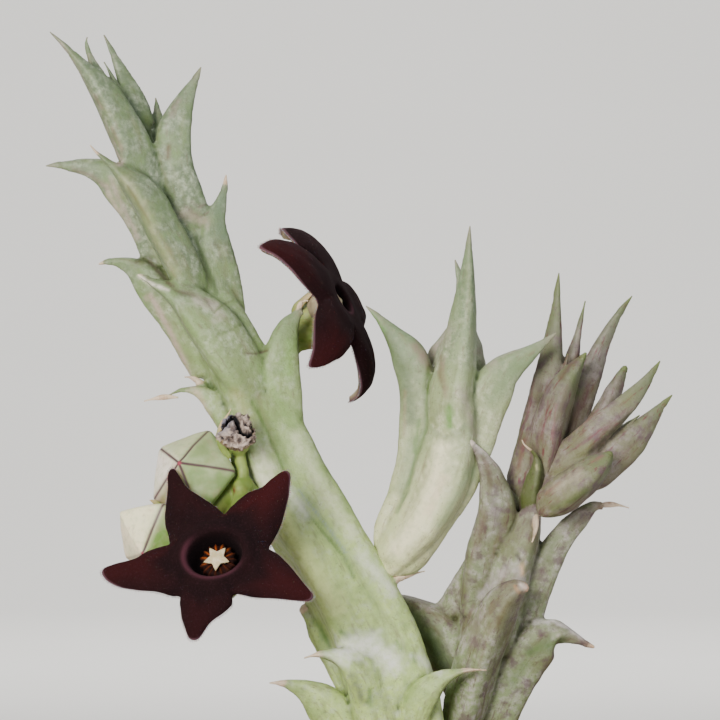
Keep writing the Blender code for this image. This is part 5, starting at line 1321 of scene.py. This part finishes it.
rustFlesh = coronaFlesh("rustCoronaFlesh", ("#120504", "#260a06", "#a04c18"), 0.8)
creamFlesh = coronaFlesh("creamStarFlesh", ("#c9b98f", "#dccfb0", "#dccfb0"), 0.5)
for flower in (frontFlower, sideFlower):
    name = flower["name"]
    makeCorolla(flower, petalVelvet, petalHair)
    makeCoronaRing(flower, rustFlesh)
    starMesh = meshOf(name + "_star_lobes", [coronaStarGrid(flower)])
    addPiece(name + "_star_lobes", starMesh, creamFlesh, [name + "_star"])


# Buds: a low five-sided pyramid above a shoulder, drawn in to its foot, with sunken dark seams along its
# corners. Faces and seams are listed turning left from the corner at `turn`: a tone for each face, how
# dark each seam is.
upperBud = dict(
    name="upper_bud", centre=(-24.75, -4.5, 104.85), axis=(-0.38, -0.86, 0.35), radius=4.9, turn=66.0,
    tones=("#cdd4a6", "#fdf3e4", "#9a8a6c", "#7f9a5c", "#93a872"), seams=(1.0, 1.0, 1.0, 1.0, 1.0),
)
lowerBud = dict(
    name="lower_bud", centre=(-28.3, -5.5, 98.15), axis=(-0.5, -0.96, -0.56), radius=4.6, turn=78.0,
    tones=("#fff8d2", "#fbeed0", "#d8d0a6", "#8fa060", "#6c9338"), seams=(1.0, 0.0, 0.4, 1.0, 1.0),
)
budMake = dict(
    profile=[(0.0, 0.62), (0.5, 0.36), (0.93, 0.05), (1.0, -0.03), (0.95, -0.16), (0.72, -0.42), (0.4, -0.62),
             (0.0, -0.64)],
    seamWidth=0.20, seamDepth=0.12, puff=0.10, rows=84, columns=240, wear=4,
)


# A bud: its profile's reach times a pentagon that turns round below, puffed between the seams and pressed
# in on them; each point stores its face's tone, blended across the seams.
def makeBud(spec, material):
    profile = np.array(budMake["profile"]) * spec["radius"]
    gone = travelled(profile)
    corners = np.arange(len(profile))
    level = np.interp(np.linspace(0, gone[-1], budMake["rows"]), gone, corners)
    profile = np.stack([np.interp(level, corners, profile[:, side]) for side in (0, 1)], axis=1)
    reach, height = worn(profile, budMake["wear"], ring=False).T
    fifth = math.radians(72)
    angle = np.linspace(0, 2 * np.pi, budMake["columns"], endpoint=False)
    fromCorner = (angle - math.radians(spec["turn"])) % (2 * np.pi)
    wedge = fromCorner % fifth - fifth / 2
    flat = math.cos(fifth / 2) / np.cos(wedge)
    roundness = smoothStep(4.0, 6.5, level)[:, None]
    outline = flat * (1 - roundness) + 0.9 * roundness
    dark = np.array(spec["seams"])[np.round(fromCorner / fifth).astype(int) % 5]
    fromSeam = (fifth / 2 - np.abs(wedge)) * reach[:, None]
    seam = dark * np.exp(-(fromSeam / budMake["seamWidth"]) ** 4)
    puff = budMake["puff"] * np.sin(np.clip(fromSeam / 1.2, 0, np.pi / 2))
    puff = puff * smoothStep(0.3, 1.5, reach)[:, None]
    local = roundAxis(reach[:, None] * outline, angle, height[:, None])
    normals = sheetNormals(local)
    normals *= np.sign((normals * local).sum(axis=-1, keepdims=True) + 1e-9)
    normals[0], normals[-1] = (0, 0, 1), (0, 0, -1)
    lumps = 0.04 * softNoise(local.reshape(-1, 3), 2.2, 31).reshape(local.shape[:2])
    soft = smoothStep(0.0, 0.9, reach)[:, None]
    local = local + normals * (puff - budMake["seamDepth"] * seam * soft - 0.05 + lumps)[..., None]
    tones = np.array([hexColour(tone)[:3] for tone in spec["tones"]])
    step = np.clip(0.5 + fromSeam[..., None] / 1.6, 0, 1) * np.ones((1, 1, 3))
    face = (fromCorner // fifth).astype(int) % 5
    gridPiece(spec["name"] + "_skin", local, (spec["centre"], spec["axis"]), dict(
        tone=step * tones[face] + (1 - step) * tones[(face + np.sign(wedge).astype(int)) % 5],
        seam=seam * (level < 4.2)[:, None],
        point=np.repeat(smoothStep(0.42, 0.18, reach) * (level < 2), len(angle)),
        low=np.repeat(smoothStep(3.4, 6.2, level), len(angle)),
    ), material, [spec["name"]])


# Bud skin: each face its own green, cream or brown, softly marbled, purple brown along the seams.
budSkin = layeredMaterial("creamGreenBudSkin", dict(
    masks=("seam", "point", "low"), vectors=("tone",),
    noises=[("marbles", "place", 420.0, 3.0), ("flecks", "place", 1900.0, 3.0),
            ("tans", "place", 1300.0, 3.0), ("grain", "place", 2600.0, 2.0)],
    ranges=[("marble", "marbles", 0.46, 0.66, 0.0, 0.40), ("fleck", "flecks", 0.5, 0.68, 0.0, 0.22),
            ("tan", "tans", 0.55, 0.70, 0.0, 0.25)],
    tones=["tone", ("marble", "#d5dab4"), ("fleck", "#86a355"), ("tan", "#b59a86"), ("low", "#8fa45c"),
           ("seam", "#553a42"), ("point", "#9a3d52")],
    relief=("grain", 0.2, 0.0001),
    shader={"Roughness": 0.5, "Subsurface Weight": 0.12, "Subsurface Scale": 0.0006},
))

makeBud(upperBud, budSkin)
makeBud(lowerBud, budSkin)
print("buds ready")


# Withered flower: a shrivelled lump on its axis, folded in and out round it, crumpled by a ridged random
# field and split by a zigzag cleft, given in its own right and up lengths, with lips beside it.
witheredMake = dict(
    centre=(-20.1, -7.0, 108.7), axis=(0.02, -0.93, 0.36), depth=2.6, rows=150, columns=220,
    profile=[(0.0, -1.9), (0.8, -1.7), (1.35, -0.9), (1.7, 0.0), (1.8, 0.7), (1.5, 1.15), (0.8, 1.3),
             (0.0, 1.35)],
    cleft=[(-1.6, 0.15), (-0.95, 0.95), (-0.3, 1.5), (-0.1, 0.95), (0.12, 0.3), (0.4, -0.3), (1.1, -0.6),
           (1.5, -0.2), (1.4, 0.8)],
    cleftWidth=0.24, cleftDepth=1.1, lipWidth=0.62, lipHeight=0.45,
    # how many round, share of the radius and phase of each fold
    folds=((5, 0.06, 0.9), (3, 0.07, 2.0), (8, 0.04, 4.0)),
    crumple=((1.1, 0.22), (0.5, 0.11)),
)

# Dried petal: papery, tan at the foot, cream lilac on top with brown and slate patches; painted shade
# darkens its crumpled folds and takes the cleft to blue black.
driedPetal = layeredMaterial("driedPetal", dict(
    masks=("foldShade", "cleftShade", "lip", "blue"),
    noises=[("clouds", "place", 1100.0, 4.0)],
    ranges=[("patch", "clouds", 0.47, 0.60, 0.0, 0.8)],
    tones=["#8d7a58", ("lip", "#baa99f"), ("patch", "#524139"), ("blue", "#6a6c7e"), ("foldShade", "#2a2228"),
           ("cleftShade", "#0b0a11")],
    shader={"Roughness": 0.8},
))


# Its profile turned round the axis, its reach times one plus the folds, lifted along its normals by the
# crumple and pressed down in the cleft
def makeWithered():
    make = witheredMake
    profile = smoothPath(make["profile"], make["rows"])
    angle = np.linspace(0, 2 * np.pi, make["columns"], endpoint=False)
    upper = smoothStep(-1.2, 0.9, profile[:, 1])[:, None]
    folds = sum(size * np.cos(times * angle + phase + 0.5 * profile[:, 1:])
                for times, size, phase in make["folds"])
    reach = profile[:, :1] * (1 + upper * folds)
    height = profile[:, 1:] + 1.2 * upper * np.roll(folds, 17, axis=1) * smoothStep(0.0, 1.2, profile[:, :1])
    local = roundAxis(reach, angle, height)
    flat = local.reshape(-1, 3)
    ridges = [(1 - 2.2 * np.abs(softNoise(flat, length, 41 + index))).reshape(height.shape)
              for index, (length, _) in enumerate(make["crumple"])]
    lift = sum(size * (0.5 - ridge) for ridge, (_, size) in zip(ridges, make["crumple"]))
    wobble = softNoise(flat, 0.5, 47)
    top = smoothStep(0.1, 0.8, height)
    cleft, lips = (strokeCover(flat[:, :2], wobble, make[width], make["cleft"]).reshape(height.shape) * top
                   for width in ("cleftWidth", "lipWidth"))
    normals = sheetNormals(local)
    normals[-1] = (0, 0, 1)
    ends = smoothStep(0.0, 0.5, profile[:, 0])[:, None] + smoothStep(0.5, 1.0, profile[:, 1])[:, None]
    ends = np.clip(ends, 0, 1)
    local = local + normals * (lift * ends)[..., None]
    local[..., 2] += make["lipHeight"] * (lips - cleft) * ends - make["cleftDepth"] * cleft
    gridPiece("withered_petals", local, (make["centre"], make["axis"]), dict(
        # painted shade in the crumple's folds and in the cleft
        foldShade=np.clip(0.2 - 0.9 * ridges[0], 0, 1),
        cleftShade=smoothStep(0.25, 0.7, cleft),
        lip=smoothStep(0.25, 0.8, height + 0.2 * ridges[1]) * 0.9,
        blue=lips * smoothStep(0.2, -0.9, local[..., 0]),
    ), driedPetal, ["withered_flower"])


makeWithered()


# Stalks, calyxes and bracts: smooth tubes that meet in a knot, joined under one skin
stalkMake = dict(voxel=0.15, smoothing=3, run=1.2, gap=0.5)


# The point on the axis that lies this far behind the centre
def backOf(centre, axis, depth):
    return tuple(np.array(centre) - depth * unit(axis))


# The last stretch of a stalk runs along the axis of what it carries.
def stalkTo(points, centre, axis, depth, radii):
    last = [backOf(centre, axis, depth + stalkMake["run"]), backOf(centre, axis, depth)]
    return tubeGrid([*points, *last], radii, 60, 20)


# Five sepals: out along the foot of what they hold, then up and outwards round it.
def calyxGrids(foot, axis, reach, rise, turn=0.0, width=1.0):
    away = np.array([0.0, 0.55, 1.0]) * reach
    height = np.array([-0.95, -0.85, rise])
    grids = []
    for index in range(5):
        angle = math.radians(turn + 72 * index)
        local = np.stack([away * math.cos(angle), away * math.sin(angle), height], axis=1)
        outward = np.array([math.cos(angle), math.sin(angle), -0.6]) @ facing(axis)
        radii = width * np.array([0.55, 0.6, 0.5, 0.16])
        grids.append(tubeGrid(placed(local, foot, axis), radii, 30, 14, 0.6 / width, outward))
    return grids


# Fused tubes, relaxed and raised by soft lumps; each tint fades out round its spots.
def makeStalks(name, nodes, grids, tints):
    mesh = fusedMesh(grids, stalkMake["voxel"])
    writePoints(mesh, relaxed(readPoints(mesh), readEdges(mesh), stalkMake["smoothing"]))
    points, normals = readPoints(mesh), readNormals(mesh)
    writePoints(mesh, points + normals * (0.07 * softNoise(points, 1.6, 51))[:, None])
    for key, spots in tints.items():
        tint = sum(np.exp(-(np.linalg.norm(points - np.array(spot), axis=1) / size) ** 2)
                   for spot, size in spots)
        writeField(mesh, key, np.clip(tint, 0, 1))
    mesh.shade_smooth()
    addPiece(name, mesh, stalkSkin, nodes)


cupDepth = 2.8 + 0.62 + stalkMake["gap"]
upperDepth = 0.64 * upperBud["radius"] + stalkMake["gap"]
lowerDepth = 0.64 * lowerBud["radius"] + stalkMake["gap"]
knot = (-19.6, -4.6, 103.6)
frontBack = (frontFlower["centre"], frontFlower["normal"])
upperBack = (upperBud["centre"], upperBud["axis"])
lowerBack = (lowerBud["centre"], lowerBud["axis"])
dryBack = (witheredMake["centre"], witheredMake["axis"])
sideBack = (sideFlower["centre"], sideFlower["normal"])
clusterGrids = [
    tubeGrid([(-16.6, -0.8, 102.2), (-18.0, -3.0, 102.2), knot, (-19.8, -5.3, 103.2)], [1.0, 0.8, 0.9, 0.8],
             40, 24),
    stalkTo([knot, (-20.0, -6.6, 101.2), (-20.8, -8.8, 98.2)], *frontBack, cupDepth, [0.9, 0.7, 0.8, 1.2]),
    stalkTo([knot, (-20.3, -2.6, 102.7)], *upperBack, upperDepth, [1.1, 0.9, 1.3]),
    stalkTo([knot, (-20.8, -3.4, 100.6), (-23.6, -2.4, 98.4)], *lowerBack, lowerDepth, [1.0, 0.8, 0.8, 1.3]),
    stalkTo([knot, (-19.7, -4.7, 105.4)], *dryBack, witheredMake["depth"], [0.75, 0.6, 0.7, 1.35]),
    # the dried strip left of the withered flower
    tubeGrid([fromPhoto(228, 455, -5.6), fromPhoto(219, 440, -6.2), fromPhoto(222, 425, -6.9),
              fromPhoto(231, 409, -6.9)], [0.5, 0.42, 0.38, 0.16], 30, 14, 0.5, (-0.7, -0.7, 0.0)),
    tubeGrid([knot, (-19.8, -5.9, 102.6), (-20.4, -6.6, 101.9)], [0.8, 0.5, 0.2]),
    # green scales that close the view between the upper bud and its stalk, and a dry one above the lower bud
    tubeGrid([fromPhoto(240, 470, -3.2), fromPhoto(233, 482, -3.6), fromPhoto(226, 496, -3.8),
              fromPhoto(213, 507, -4.2)], [0.5, 0.95, 1.2, 1.0], 30, 16),
    tubeGrid([fromPhoto(162, 508, -4.6), fromPhoto(155, 502, -5.2), fromPhoto(148.5, 499.5, -5.8)],
             [0.4, 0.28, 0.08], 20, 12),
    *calyxGrids(backOf(*frontBack, cupDepth), frontFlower["normal"], 4.0, 1.7),
    *calyxGrids(backOf(*upperBack, upperDepth), upperBud["axis"], 3.9, 0.8, 30.0),
    *calyxGrids(backOf(*lowerBack, lowerDepth), lowerBud["axis"], 2.2, 0.2, 84.0),
]
sideGrids = [
    stalkTo([(-17.2, 1.0, 116.4), (-15.2, 2.4, 117.0), (-14.4, 3.2, 118.2)], *sideBack, cupDepth,
            [1.1, 1.0, 1.0, 1.4]),
    tubeGrid([(-14.8, 2.8, 117.4), (-13.4, 2.4, 117.6), (-12.4, 2.2, 117.4)], [0.7, 0.6, 0.3]),
    tubeGrid([(-14.6, 2.6, 118.8), (-13.2, 2.0, 118.6), (-12.0, 1.8, 118.0)], [1.0, 0.9, 0.5]),
    *calyxGrids(backOf(*sideBack, cupDepth), sideFlower["normal"], 2.8, 2.5, 200.0, 1.4),
]


# Young stalk: fresh yellow green, smooth, cream where a sepal thins out, reddish at the bracts.
stalkSkin = layeredMaterial("youngStalkSkin", dict(
    masks=("pale", "red"),
    noises=[("clouds", "place", 500.0, 3.0)],
    ranges=[("patch", "clouds", 0.38, 0.62, 0.0, 1.0)],
    tones=["#6f8638", ("patch", "#93a558"), ("pale", "#cdb78c"), ("red", "#7a3a2a")],
    shader={"Roughness": 0.55, "Subsurface Weight": 0.12, "Subsurface Scale": 0.0006},
))

makeStalks("cluster_stalks_skin", ["cluster_stalks"], clusterGrids, dict(
    pale=[(fromPhoto(222, 424, -6.9), 1.1), (fromPhoto(230, 410, -6.9), 1.0),
          (fromPhoto(150, 500, -5.6), 0.8)],
    red=[(fromPhoto(233, 491, -5.6), 0.4), (fromPhoto(243, 490, -5.6), 0.3)]))
makeStalks("side_stalk_skin", ["side_stalk"], sideGrids, dict(
    pale=[(fromPhoto(300, 292, 0.0), 2.2), (fromPhoto(310, 300, 0.0), 1.6)],
    red=[((-12.6, 2.2, 117.4), 0.6)]))
print("stalks ready")


# Pot: a thrown and fired clay pot, its outline turned round the axis, with corners worn round
potMake = dict(
    height=75.0, rim=42.5, band=17.0, step=3.6, foot=29.0, wall=4.0, floor=5.0, ease=1.5, drain=5.25,
    spacing=0.9, columns=160, wear=5,
)


# How far the pot's inner wall is from its axis: straight from the floor to the top
def innerRadius(height):
    low = potMake["foot"] - potMake["wall"]
    high = potMake["rim"] - potMake["wall"] - 0.6
    return low + (high - low) * (height - potMake["floor"]) / (potMake["height"] - potMake["floor"])


# Fired clay: matt orange brown, paler where lime has come through, with turning marks round it.
firedClay = layeredMaterial("firedClay", dict(
    stretch=(1.0, 1.0, 9.0),
    noises=[("clouds", "place", 75.0, 5.0), ("rings", "stretched", 70.0, 3.0),
            ("grain", "place", 1400.0, 3.0)],
    ranges=[("lime", "clouds", 0.48, 0.78, 0.0, 0.34), ("spots", "grain", 0.6, 0.7, 0.0, 0.4)],
    products=[("marks", "rings", 2.0, "grain")],
    tones=["#8f4a2c", ("rings", "#b8663f"), ("lime", "#cfae97"), ("spots", "#6e3a25")],
    relief=("marks", 0.5, 0.0003),
    shader={"Roughness": 0.88},
))


# The pot's outline measured off in even steps, worn, and turned round the axis
def makePot():
    make = potMake
    top, rim, floor, ease = make["height"], make["rim"], make["floor"], make["ease"]
    band, waist = top - make["band"], rim - make["step"]
    outline = np.array([
        (make["drain"], 0.0), (make["drain"] + 0.6, floor), (innerRadius(floor) - ease, floor),
        (innerRadius(floor + ease), floor + ease), (innerRadius(top - ease), top - ease),
        (innerRadius(top) + 1.2, top), (rim - 1.2, top), (rim, top - 1.2), (rim - 0.7, band + 1.0),
        (rim - 1.7, band), (waist, band - 0.4), (waist - 0.6, band - 1.4), (make["foot"] + 0.4, 1.2),
        (make["foot"] - 0.8, 0.0), (make["drain"], 0.0),
    ])
    gone = travelled(outline)
    place = np.linspace(0, gone[-1], int(gone[-1] / make["spacing"]))
    profile = np.stack([np.interp(place, gone, outline[:, side]) for side in (0, 1)], axis=1)[:-1]
    profile = worn(profile, make["wear"])
    profile[:, 1] = np.maximum(profile[:, 1], 0)
    profile = np.concatenate([profile, profile[:1]])
    angle = np.linspace(0, 2 * np.pi, make["columns"], endpoint=False)
    grid = roundAxis(profile[:, :1], angle, profile[:, 1:])
    addPiece("clay_pot", meshOf("clay_pot", [grid]), firedClay, ["pot"])


makePot()

# Soil: crumbly top with grit bedded in it
soilMake = dict(
    top=66.0, floor=5.3, rings=90, columns=220,
    crumbs=((3.2, 0.45), (1.3, 0.3), (14.0, 0.5)),  # wavelength and height
    stones=620, seed=7, size=(0.5, 2.4), reach=36.5,
)


# Height of the soil's top: crumbs of three sizes on a low mound
def soilHeight(x, y):
    flat = np.stack([x, y, 0 * x], axis=-1).reshape(-1, 3)
    crumbs = sum(height * softNoise(flat, length, 61 + index)
                 for index, (length, height) in enumerate(soilMake["crumbs"]))
    return soilMake["top"] - 0.4 + crumbs.reshape(x.shape) + 1.2 * np.exp(-(x ** 2 + y ** 2) / 200)


# Potting soil: dark brown crumbs, matt, with pale mineral specks.
crumblySoil = layeredMaterial("crumblySoil", dict(
    noises=[("crumbs", "place", 700.0, 6.0), ("minerals", "place", 2600.0, 1.0)],
    ranges=[("specks", "minerals", 0.64, 0.7, 0.0, 1.0)],
    tones=["#2a1f17", ("crumbs", "#5b4634"), ("specks", "#9c8f7c")],
    relief=("crumbs", 0.9, 0.0005),
    shader={"Roughness": 0.95},
))

# Grit: pumice and lava, each stone its own tone of grey, buff or rust.
gritStone = layeredMaterial("pumiceAndLavaGrit", dict(
    masks=("pick",),
    noises=[("grain", "place", 3200.0, 3.0)],
    ranges=[("grey", "pick", 0.0, 0.3, 0.0, 1.0), ("buff", "pick", 0.3, 0.55, 0.0, 1.0),
            ("rust", "pick", 0.55, 0.78, 0.0, 1.0), ("pale", "pick", 0.78, 1.0, 0.0, 1.0),
            ("shade", "grain", 0.35, 0.7, 0.0, 0.5)],
    tones=["#5e554c", ("grey", "#8e8574"), ("buff", "#b9ad98"), ("rust", "#7a4c38"), ("pale", "#cfc6b4"),
           ("shade", "#4a4038")],
    relief=("grain", 0.7, 0.0002),
    shader={"Roughness": 0.9},
))


# Soil: a disc that follows the soil's height, closed below along the pot's inner wall; then the grit on it
def makeSoil():
    make = soilMake
    angle = np.linspace(0, 2 * np.pi, make["columns"], endpoint=False)
    edge = innerRadius(make["top"]) - 0.5
    reach = np.linspace(0, 1, make["rings"])[:, None] * edge * np.ones((1, len(angle)))
    surface = roundAxis(reach, angle, soilHeight(reach * np.cos(angle), reach * np.sin(angle)))
    floor = make["floor"]
    lowReach = np.array([innerRadius(floor + 1.5) - 1.1, innerRadius(floor) - 2.6, 0.0])[:, None]
    under = roundAxis(lowReach, angle, np.array([floor + 1.5, floor, floor])[:, None])
    addPiece("soil_body", meshOf("soil_body", [np.concatenate([surface, under])]), crumblySoil, ["soil"])

    # stones: small balls of six by seven points, squashed and dented at random
    draw = np.random.default_rng(make["seed"])
    count = make["stones"]
    away, around = make["reach"] * np.sqrt(draw.random(count)), draw.uniform(0, 2 * np.pi, count)
    size = make["size"][0] + (make["size"][1] - make["size"][0]) * draw.random(count) ** 2.2
    squash = draw.uniform(0.6, 1.2, (count, 3)) * size[:, None]
    lift = np.linspace(-np.pi / 2, np.pi / 2, 6)[:, None]
    turn = np.linspace(0, 2 * np.pi, 7, endpoint=False)[None, :]
    ball = roundAxis(np.cos(lift), turn, np.sin(lift))
    dents = draw.uniform(0.8, 1.12, (count, 6, 7))
    dents[:, 0], dents[:, -1] = dents[:, :1, 0], dents[:, -1:, 0]
    spin = np.linalg.qr(draw.normal(size=(count, 3, 3)))[0]
    local = np.einsum("nrci,nij->nrcj", ball[None] * dents[..., None] * squash[:, None, None], spin)
    x, y = away * np.cos(around), away * np.sin(around)
    middle = np.stack([x, y, soilHeight(x, y) + 0.15 * size], axis=1)
    stones = meshOf("grit", list(local + middle[:, None, None]), merge=False)
    writeField(stones, "pick", np.repeat(draw.random(count), ball.shape[0] * ball.shape[1]))
    closeMesh(stones)
    stones.set_sharp_from_angle(angle=math.radians(32))
    addPiece("grit", stones, gritStone, [])


makeSoil()
print("pot and soil ready")
